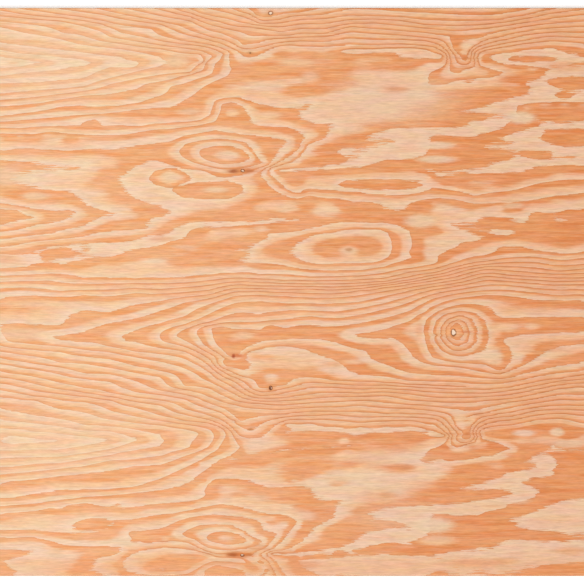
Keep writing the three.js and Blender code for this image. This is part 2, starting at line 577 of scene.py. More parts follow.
def veneerMaterial(name, settings, low, high):
    # Colours run from one end of the sheet to the other. Slow patches and thin fibres lighten and
    # darken them, and the sawn edge takes over where the surface does not face up or down.
    look = veneerWood
    material, tree, shader = newMaterial(name)
    place, normal = objectPlace(tree)
    x, _, height = parts(tree, place)
    warm = smoothMask(tree, x, *look["warmer"])
    bright, pale, orange, deep, dark = [
        blendColours(tree, warm, *[tint(code) for code in settings[part]])
        for part in ("brightPart", "palePart", "orangePart", "deepPart", "darkLine")]
    palest = smoothMask(tree, streaks(tree, place, look["paleStreaks"]), *look["palest"])
    pale = blendColours(tree, palest, pale, bright)
    given = {"Place": place, "Bright wood": bright, "Early wood": pale, "Late wood": orange,
             "Deep wood": deep, "Ring end": dark}
    for key in ("Ring", "Along", "Pace"):
        given[key] = addNode(tree, "ShaderNodeAttribute", attribute_name=key.lower()).outputs["Fac"]
    rings = placeGroup(tree, ringGroup, given)

    def tinged(colour, values, mask, other):
        # another colour laid over where the streaks' values pass from one value to a second
        start, full, strength = mask
        share = sums(tree, "MULTIPLY", smoothMask(tree, values, start, full), strength)
        return blendColours(tree, share, colour, other)

    fine = streaks(tree, place, look["fineStreaks"])
    colour = tinged(rings["Colour"], fine, look["fineDark"], dark)
    colour = tinged(colour, fine, look["finePale"], bright)
    colour = tinged(colour, streaks(tree, place, look["bandStreaks"]), look["bandWarm"], orange)
    if settings["stains"]:
        colour = layStains(tree, colour, place, settings["stains"])
    cast = smoothMask(tree, streaks(tree, place, look["castStreaks"]), *look["castShades"])
    cast = blendColours(tree, cast, *[tint(code) for code in look["castTints"]])
    colour = blendColours(tree, 1.0, colour, cast, "MULTIPLY")
    mottle = sums(tree, "MULTIPLY_ADD", streaks(tree, place, look["mottleStreaks"]), *look["mottle"])
    colour = blendColours(tree, 1.0, colour, mottle, "MULTIPLY")

    edge = placeGroup(tree, edgeGroup, {
        "Place": place, "End grain": facing(tree, normal, 0), "Height": height,
        "Underside": low.z / mm, "Top": high.z / mm})
    flat = facing(tree, normal, 2)
    relief = sums(tree, "MULTIPLY_ADD", rings["Late"], look["lateRelief"], fine)
    relief = blendValues(tree, flat, edge["Relief"], relief)
    bump = addNode(tree, "ShaderNodeBump", {"Height": relief, **look["bump"]}).outputs[0]
    rough = sums(tree, "MULTIPLY_ADD", rings["Late"], -look["lateGloss"], settings["roughness"])
    tree.links.new(blendColours(tree, flat, edge["Colour"], colour), shader.inputs["Base Color"])
    tree.links.new(rough, shader.inputs["Roughness"])
    tree.links.new(bump, shader.inputs["Normal"])
    shader.inputs["Specular IOR Level"].default_value = look["specular"]
    return material


knotHoles = [
    # x, y, half length, half width, turn in degrees, waves, swell, phase in degrees
    (347.1 * mm, -86.8 * mm, 4.5 * mm, 6.2 * mm, 8, 3, 0.13, 40),
    (-46.0 * mm, 599.3 * mm, 4.0 * mm, 3.1 * mm, 14, 3, 0.05, 0),
    (-45.8 * mm, -206.2 * mm, 2.5 * mm, 3.5 * mm, 16, 2, 0.10, 30),
    (-105.9 * mm, 260.5 * mm, 3.4 * mm, 2.1 * mm, -6, 3, 0.10, 90),
    (-107.2 * mm, -564.9 * mm, 3.3 * mm, 2.0 * mm, 4, 3, 0.08, 20),
]
# Soft colours laid over the rings: x, y, half length and half width in millimetres, the half sizes
# out to which each is at full strength, those at which it is gone, its strength and its colour. About
# a third of the places were found by a program that compared a render with the photo.
faceStains = [
    # paler wood at the left end, where the knife only grazes the rings
    (-530, 492, 330, 95, 0, 1.2, 0.5, "f6d9b4"),
    (-530, -318, 330, 85, 0, 1.2, 0.5, "f6d9b4"),
    # paler wood in the right half, and in the hearts of its two broad flames
    (212, 415, 165, 66, 0.3, 1.2, 0.55, "e8c8ac"),
    (221, -479, 140, 40, 0.2, 1.3, 0.25, "e6c8ae"),
    (210, -356, 105, 19, 0.3, 1.3, 0.55, "e8c8aa"),
    (168, -421, 135, 34, 0.3, 1.2, 0.45, "e8c8aa"),
    (498.5, -303, 27, 8, 0.5, 1.2, 0.85, "e8c6a8"),
    (569, -301, 18, 10, 0.5, 1.2, 0.85, "e8c6a4"),
    (595, -326, 48, 10, 0.4, 1.2, 0.7, "e6c0a0"),
    # paler wood in the left half: inside two small flames, by the lower pin knot and at the middle
    (-258, 247, 27, 10, 0.4, 1.2, 0.8, "f0cca8"),
    (-163, 219, 32, 6.5, 0.3, 1.2, 0.75, "f0cca8"),
    (-64, -329, 54, 13, 0.3, 1.2, 0.5, "eccaa8"),
    (-580, -90, 90, 16, 0.3, 1.2, 0.6, "f0cda8"),
    # smaller pale patches, from the top down
    (-600, 548, 60, 10, 0.3, 1.2, 0.55, "f4d4b2"),
    (-249, 494, 36, 14, 0.3, 1.2, 0.55, "f2d2b0"),
    (39, 462, 26, 14, 0.3, 1.2, 0.6, "ecc8a4"),
    (-221, 387, 34, 9, 0.3, 1.2, 0.6, "f0cca8"),
    (-47, 380, 30, 9, 0.3, 1.2, 0.6, "eecaa6"),
    (492, 374, 36, 15, 0.5, 1.2, 0.85, "e8c8a8"),
    (127, 348, 44, 11, 0.3, 1.2, 0.55, "e8c8a8"),
    (-616, 249, 50, 24, 0.4, 1.2, 0.7, "f0cda8"),
    (-552, 206, 36, 10, 0.4, 1.2, 0.7, "f0cda8"),
    (477, 185, 32, 8, 0.3, 1.2, 0.6, "e8c8a8"),
    (-232, 97, 34, 7, 0.3, 1.2, 0.5, "f0cca8"),
    (135, -150, 30, 7, 0.3, 1.2, 0.5, "eac8a6"),
    (487, -449, 30, 9, 0.3, 1.2, 0.5, "e8c8a8"),
    (223, -430, 26, 10, 0.3, 1.2, 0.5, "e8c8a8"),
    (275, 152, 38, 17, 0.5, 1.2, 0.8, "e8c6a4"),
    (-520, -25, 130, 8, 0.3, 1.2, 0.55, "f0cda8"),
    (-71, -442, 32, 11, 0.3, 1.2, 0.55, "ecc8a6"),
    (28, -481, 28, 14, 0.3, 1.2, 0.6, "e8c8a8"),
    (311, -533, 46, 13, 0.4, 1.2, 0.7, "ecc29a"),
    # late wood that is stronger than the rings alone give
    (590, 485, 54, 15, 0.3, 1.2, 0.55, "e0945e"),
    (-620, 73, 45, 13, 0.3, 1.2, 0.5, "eaa674"),
    (273, -84, 11, 20, 0.3, 1.2, 0.5, "e6a070"),
    (90, -155, 30, 8, 0.3, 1.2, 0.6, "e6a070"),
    (-279, 114, 34, 7, 0.3, 1.2, 0.5, "e6a070"),
    (554, -122, 34, 8, 0.3, 1.2, 0.5, "e09a66"),
    (307, -356, 28, 9, 0.3, 1.2, 0.5, "e09a66"),
    (457, -578, 36, 9, 0.3, 1.2, 0.5, "e09a66"),
    (-79, -548, 30, 11, 0.3, 1.2, 0.55, "e09a66"),
    (600, -556, 45, 11, 0.3, 1.2, 0.55, "de9662"),
    (388, -582, 80, 12, 0.3, 1.2, 0.6, "e09a66"),
    (26, -586, 42, 9, 0.3, 1.2, 0.55, "e09a66"),
    # warmer wood along the lower edge
    (0, -592, 1500, 32, 0.2, 1.2, 0.32, "e89a60"),
    # islands of late wood in the pale parts
    (226, 436, 30, 5, 0.3, 1.2, 0.6, "dc935e"),
    (235, -376, 32, 8, 0.4, 1.2, 0.7, "dc935e"),
    (95, -415, 16, 4, 0.3, 1.2, 0.5, "dc935e"),
    (205, -436, 24, 7.5, 0.4, 1.2, 0.5, "dc935e"),
    # pale wood that leaves such islands beside it
    (309, 315, 44, 8.5, 0.5, 1.3, 0.9, "e8c6a6"),
    (311, 284.5, 44, 8.5, 0.5, 1.3, 0.85, "e8c6a6"),
    (304, -501, 45, 17, 0.5, 1.3, 0.85, "e8c8a8"),
    # the middle knot: warm ring, red streak, dark rim (partly its own dark ring, partly painted shade
    # at the hole's edge)
    (347.1, -86.8, 23.6, 19.3, 0.2, 1.2, 0.5, "ee9c58"),
    (373.7, -85.5, 19.3, 3.4, 0.1, 1.2, 0.6, "d4703c"),
    (347.1, -87.2, 6, 8.4, 0.85, 1.15, 0.85, "8a4c20"),
    # the knot at the top edge
    (-45.8, 599.3, 15, 9.7, 0.2, 1.2, 0.5, "df9558"),
    # its dark rim: partly the knot's own dark ring, partly painted shade at the hole's edge
    (-46, 599.3, 5.6, 4.7, 0.85, 1.2, 0.85, "a0603a"),
    # the knot below the middle
    (-45.3, -206.2, 12.9, 10.7, 0.2, 1.2, 0.6, "e0904a"),
    # its dark rim: partly the knot's own dark ring, partly painted shade at the hole's edge
    (-45.8, -206.2, 4.3, 5.4, 0.8, 1.15, 0.85, "7c3a0c"),
    # the upper left knot and the streaks beside it
    (-106.3, 260.3, 46, 11, 0.1, 1.2, 0.9, "dc8648"),
    (-126, 259.5, 14.5, 6.2, 0.1, 1.2, 0.9, "a8582c"),
    (-92.4, 260.3, 15, 4.6, 0.1, 1.2, 0.85, "c0703e"),
    # its dark rim: partly the knot's own dark ring, partly painted shade at the hole's edge
    (-105.9, 260.5, 5.2, 3.7, 0.8, 1.2, 0.85, "8c4c2a"),
    # the lower left knot and the streaks beside it
    (-111.7, -564, 46, 9.5, 0.1, 1.2, 0.95, "dc7c34"),
    (-127.5, -564.5, 18, 5.6, 0.1, 1.2, 0.95, "b45c1e"),
    (-93.4, -564, 12.9, 4, 0.1, 1.2, 0.85, "c06c30"),
    # its dark rim: partly the knot's own dark ring, partly painted shade at the hole's edge
    (-106.7, -565.5, 4.9, 3.4, 0.8, 1.2, 0.85, "8c4820"),
    # the tight knot left of the middle
    (-116, -137, 19.3, 5.6, 0.1, 1.2, 0.9, "e07a40"),
    (-125.7, -137.5, 5.2, 6, 0.3, 1.1, 0.95, "b04c18"),
    # the reddish seams either side of the two small knots on the right
    (372.7, 501.5, 36, 2.6, 0.1, 1.3, 0.55, "d4804c"),
    (372.7, 502, 9, 5, 0.2, 1.2, 0.55, "cd7638"),
    (383, -304.5, 52, 2.8, 0.1, 1.3, 0.5, "d98648"),
    (376, -304.5, 7, 4, 0.2, 1.2, 0.6, "cc7434"),
    # pin knots
    (-90.6, 513.6, 9.7, 3.9, 0.1, 1.2, 0.7, "c8854e"),
    (-89.8, 513.3, 2.8, 2.8, 0.2, 1.2, 0.9, "8a562c"),
    (-89.1, -295.1, 8.6, 4.1, 0.1, 1.2, 0.8, "b8783c"),
    (122, 88.1, 23.6, 10.7, 0.3, 1.2, 0.8, "ecc29c"),
    (122, 91.3, 10.3, 4.5, 0.3, 1.2, 0.9, "cf9468"),
]
knotBlocks = [
    # the part of the grid taken out round each knot: from x, to x, from y, to y
    (335.1 * mm, 359.1 * mm, -98.8 * mm, -74.8 * mm),
    (-54.0 * mm, -38.0 * mm, 591.4 * mm, 607.4 * mm),
    (-54.0 * mm, -38.0 * mm, -214.2 * mm, -198.2 * mm),
    (-114.6 * mm, -98.6 * mm, 252.5 * mm, 268.5 * mm),
    (-114.6 * mm, -98.6 * mm, -572.9 * mm, -556.9 * mm),
]


faceVeneer = {
    "columns": [(-0.66, 0.024), (0.66, 0.0082), (9.0, 0.024)],  # the grid's steps: up to x, metres
    "rows": [(9.0, 0.003)],
    "knots": knotHoles,
    "blocks": knotBlocks,
    "wallTaper": 0.3 * mm,
    "brightPart": ("f4d5b6", "eac4a4"),  # the palest wood, towards the left end and the right
    "palePart": ("f6c69b", "edb68c"),    # early wood
    "orangePart": ("f1b07c", "e4965e"),  # late wood
    "deepPart": ("ef9f60", "dd8140"),    # late wood where it is strongest
    "darkLine": ("dc8f5c", "c8763e"),    # the end of each ring
    "roughness": 0.62,
    "stains": faceStains,
}

# The figure of the face is traced from the photo: x runs to the right and y down, in half pixels of
# the photo. Each line has the number of the ring that ends there. These tables aren't all hand work.
# A program that measured the photo's dark lines listed about nine tenths of the places in
# ringCrossings and about a quarter of those in ringLines, and the rest was read from enlarged crops
# or placed by judgement. Another program wrote the three tables out and thinned the lines.
drawing = {
    "unit": 1220 / 1136 * mm,  # of the real sheet for each half pixel
    "middle": 584,
    "width": 1168,
    "edges": (16, 1152),   # y of the sheet's two long edges
    "stretch": 2.5,        # how much further a ring reaches along the grain than across it
    "spacing": 8,          # longest step between the points of a line, after the stretch
    "nearest": 1.2,        # points closer than this, after the stretch, count as one
    "roundness": 2.4,      # how gently the field bends at a point
    "slack": 0.25,         # how far the field may miss the points to stay smooth
    "plane": 200,          # the length that the sloping plane is counted in
    "patchX": [78, 234, 390],  # the middles of the field's patches, after the stretch
    "patchY": [97, 259, 421, 583, 745, 907, 1069],
    "patchReach": 125,
    "cut": 0.1 * mm,       # half the width of the column that holds a step of the field
}

drawingEnds = {
    "fade": 0.25,              # metres past the drawing's ends over which the waves come in
    "sway": 12 * mm,           # how far they move a line across the grain
    "swayWaves": (1.3, 0.5),   # their length along and across it, in metres
    "rings": 1.5,              # how many rings other waves add
    "ringWaves": (0.6, 0.11),
    "seeds": (23, 24),
}

ringEnds = [
    # x, y, turn: going round the place once adds or takes one ring, where a ring line ends
    (932, 80, -1),
    (932, 834, -1),
    (932, 774, 1),
]
ringLines = [
    # ring number, then x and y of each point along the line
    (-21, [918, 666]),
    (-20, [912, 645, 900, 656, 900, 672, 910, 680, 922, 678, 928, 664, 922, 650, 912, 645]),
    (-19, [918, 638, 898, 646, 890, 662, 894, 678, 906, 690, 920, 692, 936, 684, 940, 666, 932,
        646, 918, 638]),
    (-18, [920, 630, 894, 638, 882, 654, 880, 674, 890, 690, 904, 700, 920, 702, 938, 698, 952,
        684, 956, 660, 944, 638, 920, 630]),
    (-17, [920, 622, 890, 628, 872, 642, 866, 662, 870, 684, 882, 700, 900, 710, 920, 713, 944,
        709, 970, 700, 978, 676, 972, 644, 950, 626, 920, 622]),
    (-16.5, [1030, 647, 1060, 647, 992, 676, 994, 690, 1006, 708, 1006, 724, 998, 732, 976, 726]),
    (-16, [850, 648, 848, 662, 850, 680, 856, 700, 866, 715, 890, 722, 920, 726, 970, 729, 990,
        739, 1000, 741, 1010, 737, 1018, 726, 1024, 712, 1022, 700, 1006, 682, 1010, 677, 1040,
        669, 1100, 667, 1156, 666]),
    (-16, [1156, 633, 1020, 635, 1006, 636, 994, 630, 974, 612, 950, 608]),
    (-15, [704, 670, 720, 674, 744, 676, 770, 677, 790, 677, 804, 686, 816, 698, 826, 712, 840,
        723, 856, 728, 870, 731, 920, 735, 970, 745, 1000, 749, 1020, 742, 1044, 732, 1070, 718,
        1090, 704, 1120, 693, 1156, 689]),
    (-15, [704, 670, 720, 667, 744, 664, 770, 658, 800, 648, 820, 642, 836, 630, 850, 624, 860,
        615, 870, 611]),
    (-14.5, [690, 679, 720, 687, 744, 690, 770, 689, 784, 694, 804, 720, 824, 734]),
    (-14, [424, 660, 426, 676, 434, 690, 458, 713, 474, 712, 486, 700, 500, 692, 520, 684, 560,
        679, 600, 677, 640, 679, 670, 684, 690, 692, 720, 700, 732, 702, 742, 718, 756, 724, 770,
        728, 794, 738, 820, 746, 870, 750]),
    (-13, [398, 674, 406, 688, 420, 698, 452, 717]),
    (-13, [496, 705, 512, 700, 530, 696, 560, 693, 584, 694, 610, 699, 630, 707, 660, 717, 680,
        726, 700, 742, 720, 750, 770, 753, 820, 762, 870, 763]),
    (-13, [444, 722, 450, 732, 486, 740, 498, 736, 501, 728, 492, 721]),
    (-12.5, [504, 747, 524, 742, 536, 738, 584, 740]),
    (-12, [352, 672, 360, 676]),
    (-11, [320, 674, 326, 682]),
    (-10, [510, 29, 520, 33, 530, 34, 540, 34, 560, 29, 580, 26, 600, 25]),
    (-10, [244, 674, 250, 682]),
    (-9, [480, 24, 500, 29, 520, 41, 540, 41, 560, 40, 580, 34, 600, 32, 650, 29, 700, 18, 750, 19,
        800, 23, 900, 28]),
    (-9, [104, 674, 120, 680, 160, 684, 190, 686, 210, 691]),
    (-8, [420, 18, 460, 27, 490, 36, 500, 39, 520, 48, 560, 47, 600, 40, 650, 38, 700, 31, 800, 34,
        850, 40, 900, 42]),
    (-8, [0, 650, 30, 646, 70, 650, 120, 650]),
    (-7, [380, 18, 400, 27, 460, 39, 480, 45, 520, 52, 540, 54, 560, 55, 600, 49, 650, 48, 700, 40,
        750, 39, 800, 42, 850, 50, 900, 52]),
    (-7, [0, 418, 36, 420, 44, 426, 66, 436, 30, 442, 0, 450]),
    (-7, [20, 593, 70, 591]),
    (-7, [412, 1074, 424, 1066, 440, 1063, 460, 1064, 480, 1070, 496, 1081, 488, 1086, 470, 1089,
        450, 1089, 430, 1085, 416, 1080, 412, 1074]),
    (-7, [870, 814, 910, 819]),
    (-7, [952, 829, 970, 827, 1000, 820]),
    (-6.5, [424, 310, 436, 303, 456, 302, 476, 306, 482, 314, 468, 320, 440, 319, 424, 310]),
    (-6, [360, 22, 380, 27, 400, 34, 420, 40, 440, 45, 460, 51, 480, 54, 500, 55, 520, 58, 540, 61,
        560, 64, 580, 62, 600, 58, 650, 58, 700, 48, 750, 47, 800, 52, 850, 57, 900, 62]),
    (-6, [398, 306, 402, 298, 430, 292, 460, 292, 484, 299, 502, 314]),
    (-6, [412, 320, 440, 328]),
    (-6, [0, 406, 40, 412, 70, 418, 100, 420, 140, 421, 152, 426, 144, 432, 124, 442, 100, 447, 70,
        450, 40, 459, 10, 463]),
    (-6, [20, 575, 70, 576]),
    (-6, [364, 1068, 376, 1059, 400, 1050, 430, 1048, 460, 1050, 480, 1058, 494, 1065, 504, 1074,
        518, 1079, 524, 1084, 512, 1092, 492, 1098, 460, 1101, 430, 1099, 414, 1095, 400, 1087,
        390, 1079, 374, 1075, 364, 1068]),
    (-6, [870, 823, 890, 827, 902, 833]),
    (-6, [956, 839, 970, 834, 1000, 828]),
    (-6, [0, 1098, 30, 1099, 64, 1103, 48, 1112, 20, 1118, 8, 1122, 16, 1134, 32, 1142, 28, 1152]),
    (-6, [907, 842, 909, 850, 916, 858, 923, 863, 926, 868, 922, 873, 927, 878, 934, 879, 940, 877,
        943, 872, 941, 866, 943, 858, 947, 848]),
    (-5, [320, 20, 360, 30, 380, 34, 400, 43, 420, 50, 440, 55, 460, 60, 480, 64, 500, 72, 520, 72,
        560, 72, 580, 71, 600, 68, 650, 68, 700, 54, 750, 58, 800, 62, 850, 66, 900, 72]),
    (-5, [850, 66, 870, 69, 890, 72, 900, 78, 904, 90, 906, 98, 916, 108, 922, 116, 926, 121, 934,
        122, 939, 110, 940, 100, 948, 92, 960, 85, 970, 82, 980, 78, 1000, 75]),
    (-5, [360, 300, 370, 288, 400, 281, 430, 278, 460, 279, 490, 285, 504, 298, 512, 312, 524,
        326]),
    (-5, [0, 321, 40, 323, 70, 323, 100, 330, 158, 334]),
    (-5, [70, 342, 40, 348, 30, 354, 26, 358, 30, 364, 70, 375, 100, 380, 140, 383, 160, 396, 170,
        408, 194, 418, 230, 428]),
    (-5, [230, 428, 200, 435, 160, 454, 130, 459, 100, 467, 10, 478]),
    (-5, [990, 504, 994, 498, 1006, 494, 1040, 492, 1060, 498, 1090, 503]),
    (-5, [100, 561]),
    (-5, [430, 811, 442, 815, 452, 820, 462, 827, 470, 835, 480, 842, 490, 840, 500, 837, 520, 833,
        550, 830]),
    (-5, [260, 1063, 290, 1061, 316, 1058, 336, 1052, 356, 1042, 380, 1035, 406, 1031, 430, 1029,
        456, 1031, 512, 1039, 524, 1048, 526, 1059, 554, 1068, 548, 1078, 530, 1097]),
    (-5, [260, 1082, 290, 1085, 350, 1082, 376, 1086, 410, 1102, 430, 1108]),
    (-5, [410, 1140, 424, 1133, 440, 1131, 464, 1135, 486, 1141, 494, 1152]),
    (-5, [500, 1112, 516, 1120, 526, 1134, 534, 1152]),
    (-5, [870, 832, 884, 836, 896, 846]),
    (-5, [960, 846, 980, 838, 1000, 835]),
    (-5, [0, 1075, 20, 1076, 50, 1074, 70, 1074, 120, 1088, 150, 1092, 180, 1093, 238, 1092, 242,
        1098, 238, 1106, 216, 1112, 196, 1116, 184, 1136, 208, 1152]),
    (-5, [896, 846, 904, 856, 912, 864, 915, 870, 911, 877, 916, 883, 924, 886, 934, 886, 944, 883,
        950, 877, 949, 868, 947, 862, 951, 854, 960, 846]),
    (-4.5, [240, 320, 236, 336, 200, 340, 192, 356, 176, 370, 210, 380, 220, 396, 236, 406, 280,
        408]),
    (-4.5, [274, 436, 214, 444]),
    (-4.5, [894, 522, 910, 512, 956, 494, 980, 486, 1030, 480, 1080, 486, 1130, 496, 1168, 486]),
    (-4, [280, 23, 320, 32, 360, 39, 380, 43, 420, 62, 440, 66, 460, 74, 474, 80, 486, 90, 514, 87,
        530, 81, 550, 78, 600, 75, 650, 74, 700, 65, 800, 71, 850, 76]),
    (-4, [850, 76, 870, 78, 884, 82, 894, 90, 900, 100, 910, 112, 912, 122, 916, 127, 926, 130,
        936, 129, 941, 124, 943, 114, 943, 106, 948, 99, 960, 93, 970, 90, 980, 87, 1000, 82]),
    (-4, [10, 301, 40, 296, 70, 297, 100, 300, 130, 302, 190, 297, 220, 300, 250, 296, 280, 290,
        340, 283, 370, 271, 430, 261, 460, 265, 490, 270, 536, 273, 572, 281, 566, 292, 550, 314,
        536, 330]),
    (-4, [300, 320, 266, 336, 236, 356, 252, 384, 274, 398, 300, 408, 320, 412, 342, 424, 326, 432,
        300, 438, 294, 458, 220, 462, 190, 467, 160, 474, 70, 483, 10, 494]),
    (-4, [300, 356, 310, 342, 340, 336, 366, 342, 380, 356, 366, 370, 340, 375, 310, 370, 300,
        356]),
    (-4, [344, 380, 364, 368, 410, 363, 460, 363, 486, 372, 486, 384, 460, 396, 410, 399, 364, 394,
        344, 380]),
    (-4, [820, 536, 870, 527, 876, 520, 876, 512, 900, 498, 916, 492, 922, 486, 940, 482, 958, 480,
        960, 474, 910, 454, 900, 449, 920, 448, 940, 449, 956, 444, 962, 435, 1000, 434, 1026, 436,
        1028, 444, 1044, 448, 1056, 440, 1060, 426, 1080, 424, 1106, 427, 1124, 422, 1140, 419,
        1168, 418]),
    (-4, [976, 464, 990, 459, 1016, 460, 1030, 464, 1016, 470, 990, 470, 976, 464]),
    (-4, [1106, 439, 1120, 436, 1132, 439, 1120, 442, 1106, 439]),
    (-4, [430, 822, 444, 827, 456, 836, 468, 845, 484, 855, 500, 862, 512, 856, 524, 847, 544, 840,
        570, 835]),
    (-4, [0, 1061, 40, 1060, 70, 1060, 100, 1064, 150, 1066, 170, 1062, 190, 1063, 208, 1060, 224,
        1052, 236, 1039, 270, 1038, 294, 1033, 320, 1029, 344, 1027, 370, 1022, 420, 1012, 444,
        1008, 470, 1012, 540, 1029, 560, 1028, 574, 1032, 588, 1038, 596, 1044, 580, 1062, 566,
        1082, 544, 1099]),
    (-4, [246, 1130, 248, 1120, 260, 1110, 280, 1103, 300, 1098, 330, 1095, 360, 1097, 390, 1101,
        416, 1108, 432, 1114]),
    (-4, [246, 1130, 250, 1140, 270, 1147, 300, 1150, 350, 1150, 376, 1147, 394, 1138, 410, 1128,
        426, 1123, 450, 1123, 480, 1125, 500, 1129, 512, 1138]),
    (-4, [524, 1112, 536, 1122, 554, 1152]),
    (-4, [870, 839, 882, 846, 894, 857, 900, 868, 902, 890, 912, 895, 924, 892, 940, 887, 952, 882,
        956, 874, 952, 866, 958, 856, 974, 848, 1000, 843]),
    (-3, [200, 19, 240, 28, 320, 43, 360, 52, 380, 61, 420, 74, 440, 78, 460, 85, 480, 96]),
    (-3, [520, 95, 550, 88, 580, 84, 600, 83, 650, 84, 700, 77, 750, 80, 800, 80, 850, 82]),
    (-3, [850, 82, 870, 87, 880, 92, 894, 104, 900, 122, 899, 132, 900, 140, 908, 146, 918, 147,
        926, 142, 934, 138, 946, 135, 952, 130, 951, 124, 948, 114, 952, 104, 970, 96, 980, 94,
        1000, 90]),
    (-3, [532, 360, 540, 372, 556, 384, 584, 396, 596, 398, 606, 394, 620, 391, 650, 396, 690, 399,
        704, 404, 730, 403, 760, 408, 774, 417, 800, 420, 814, 416, 820, 407, 840, 401, 860, 397,
        880, 396, 910, 399, 930, 404, 950, 407, 970, 407, 1030, 404, 1060, 401, 1110, 392, 1130,
        391, 1168, 386]),
    (-3, [600, 462, 660, 448, 690, 445, 710, 444, 770, 446, 790, 449, 804, 454, 818, 462, 822, 472,
        824, 490, 818, 504, 822, 516, 800, 523, 784, 527, 770, 533, 720, 540, 650, 541, 610, 538,
        550, 528, 524, 526, 492, 526, 476, 523, 496, 518, 500, 512, 494, 504, 470, 500, 472, 497,
        500, 496, 510, 488, 524, 482, 532, 476, 536, 468, 570, 464, 600, 462]),
    (-3, [10, 267, 70, 268, 100, 263, 130, 267, 160, 269, 220, 270, 250, 269, 310, 259, 340, 258,
        370, 254, 400, 250, 430, 243, 440, 224, 442, 209, 464, 204, 484, 212, 494, 224, 502, 240,
        512, 250, 530, 253, 574, 254, 596, 262, 608, 276, 600, 294, 584, 310, 560, 324, 540, 334]),
    (-3, [100, 492, 160, 487, 230, 485, 270, 481, 300, 472, 330, 471, 350, 456, 374, 447, 400, 444,
        480, 444, 520, 442, 556, 436]),
    (-3, [124, 530, 160, 520, 190, 514, 220, 514, 250, 505, 270, 498, 320, 491, 340, 483, 370, 475,
        380, 462, 400, 454, 430, 455, 540, 447, 580, 442, 600, 438]),
    (-3, [164, 510, 84, 524, 50, 534, 0, 537]),
    (-3, [100, 492, 86, 500, 80, 510, 84, 524]),
    (-3, [100, 492, 140, 492, 176, 494, 172, 504, 164, 510]),
    (-3, [430, 836, 444, 841, 456, 849, 466, 858, 474, 868, 486, 874, 500, 876, 512, 876, 526, 872,
        536, 864, 546, 854, 560, 846, 570, 842]),
    (-3, [20, 1025, 70, 1022, 100, 1016, 124, 1017, 136, 1010, 170, 1006, 200, 1012, 220, 1014,
        236, 1006, 248, 1016, 270, 1014, 300, 1009, 370, 1003, 396, 999, 410, 992, 410, 980, 416,
        968, 426, 960, 440, 957, 470, 957, 496, 961, 516, 969, 540, 975, 570, 974, 600, 971, 620,
        974, 626, 986, 634, 997, 650, 1000, 670, 999, 690, 1001, 674, 1008, 670, 1020, 672, 1032,
        656, 1042, 636, 1050, 600, 1086, 584, 1095, 564, 1102]),
    (-3, [536, 1109, 550, 1122, 572, 1152]),
    (-3, [850, 848, 870, 852, 880, 858, 894, 868, 898, 874, 892, 884, 880, 892, 866, 898, 854, 903,
        850, 914, 838, 920, 850, 925, 872, 928, 900, 923, 932, 920, 960, 915, 984, 911, 1006, 903,
        1022, 897, 1000, 887, 980, 882, 964, 876, 960, 862, 974, 856, 1000, 852, 1020, 851]),
    (-2.5, [620, 385, 740, 395, 800, 398, 860, 389, 910, 391, 950, 398, 1000, 393, 1060, 383, 1100,
        374, 1168, 368]),
    (-2.5, [464, 933, 500, 935, 524, 934, 544, 924, 570, 918, 620, 915, 660, 910, 694, 901]),
    (-2.5, [576, 922, 600, 922, 640, 920, 668, 922, 668, 934, 650, 944, 584, 966, 560, 952, 568,
        936]),
    (-2.5, [584, 882, 620, 883, 660, 882, 690, 877, 700, 882, 724, 890, 770, 893, 810, 893, 830,
        886, 850, 881, 880, 877]),
    (-2.5, [1024, 888, 1040, 886, 1100, 886]),
    (-2.5, [910, 932, 904, 942, 892, 954, 860, 974, 830, 980, 810, 983, 828, 992, 810, 998, 740,
        1007, 712, 1014, 704, 1028, 680, 1042, 656, 1052, 644, 1066, 636, 1082, 606, 1090, 584,
        1102]),
    (-2.5, [914, 930, 1000, 921, 1030, 910, 1010, 908]),
    (-2.5, [574, 1119, 588, 1148]),
    (-2.5, [550, 1104, 570, 1102]),
    (-2, [120, 18, 200, 29, 240, 38, 280, 44, 320, 49, 360, 66, 380, 72, 400, 76, 440, 87, 470,
        100, 490, 114, 500, 115, 516, 112, 530, 104, 550, 95, 560, 92, 580, 91, 600, 93, 650, 94,
        700, 89, 750, 91, 800, 89, 850, 92]),
    (-2, [850, 92, 870, 95, 880, 101, 894, 110, 894, 122, 888, 132, 880, 137, 868, 142, 858, 148,
        858, 160, 856, 168, 872, 170, 890, 169, 904, 164, 926, 160, 932, 166, 944, 164, 946, 158,
        960, 155, 980, 155, 994, 151, 1006, 146, 990, 140, 972, 135, 960, 130, 956, 122, 955, 116,
        958, 108, 970, 102, 980, 100, 1000, 96]),
    (-2, [490, 114, 500, 115, 516, 112, 530, 104, 550, 95, 560, 92, 580, 91, 600, 93, 650, 94, 700,
        91, 800, 89, 850, 92]),
    (-2, [676, 368, 690, 361, 720, 359, 760, 358, 800, 359, 830, 362, 848, 370, 830, 377, 800, 380,
        760, 380, 690, 375, 676, 368]),
    (-2, [546, 354, 570, 376, 584, 384, 600, 386, 606, 380, 620, 377, 770, 390, 800, 390, 824, 388,
        840, 385, 860, 379, 868, 375, 910, 381, 950, 391, 970, 387, 1030, 380, 1080, 366, 1100,
        363, 1130, 360, 1168, 359]),
    (-2, [606, 482, 620, 474, 632, 469, 660, 466, 690, 460, 710, 459, 760, 459, 776, 466, 782, 480,
        784, 494, 782, 506, 776, 514, 760, 522, 744, 525, 630, 528, 610, 524, 594, 517, 586, 508,
        584, 498, 592, 490, 606, 482]),
    (-2, [0, 256, 40, 256, 100, 252, 160, 251, 166, 245, 180, 240, 192, 239, 200, 246, 210, 251,
        250, 251, 280, 252, 310, 247, 370, 244, 400, 240, 420, 230, 430, 202, 444, 197, 474, 194,
        496, 200, 516, 208, 536, 211, 560, 216, 600, 216, 620, 209, 610, 218, 594, 224, 600, 234,
        606, 240, 630, 247, 666, 250, 656, 262, 650, 276, 616, 290, 602, 310, 586, 324, 544, 336]),
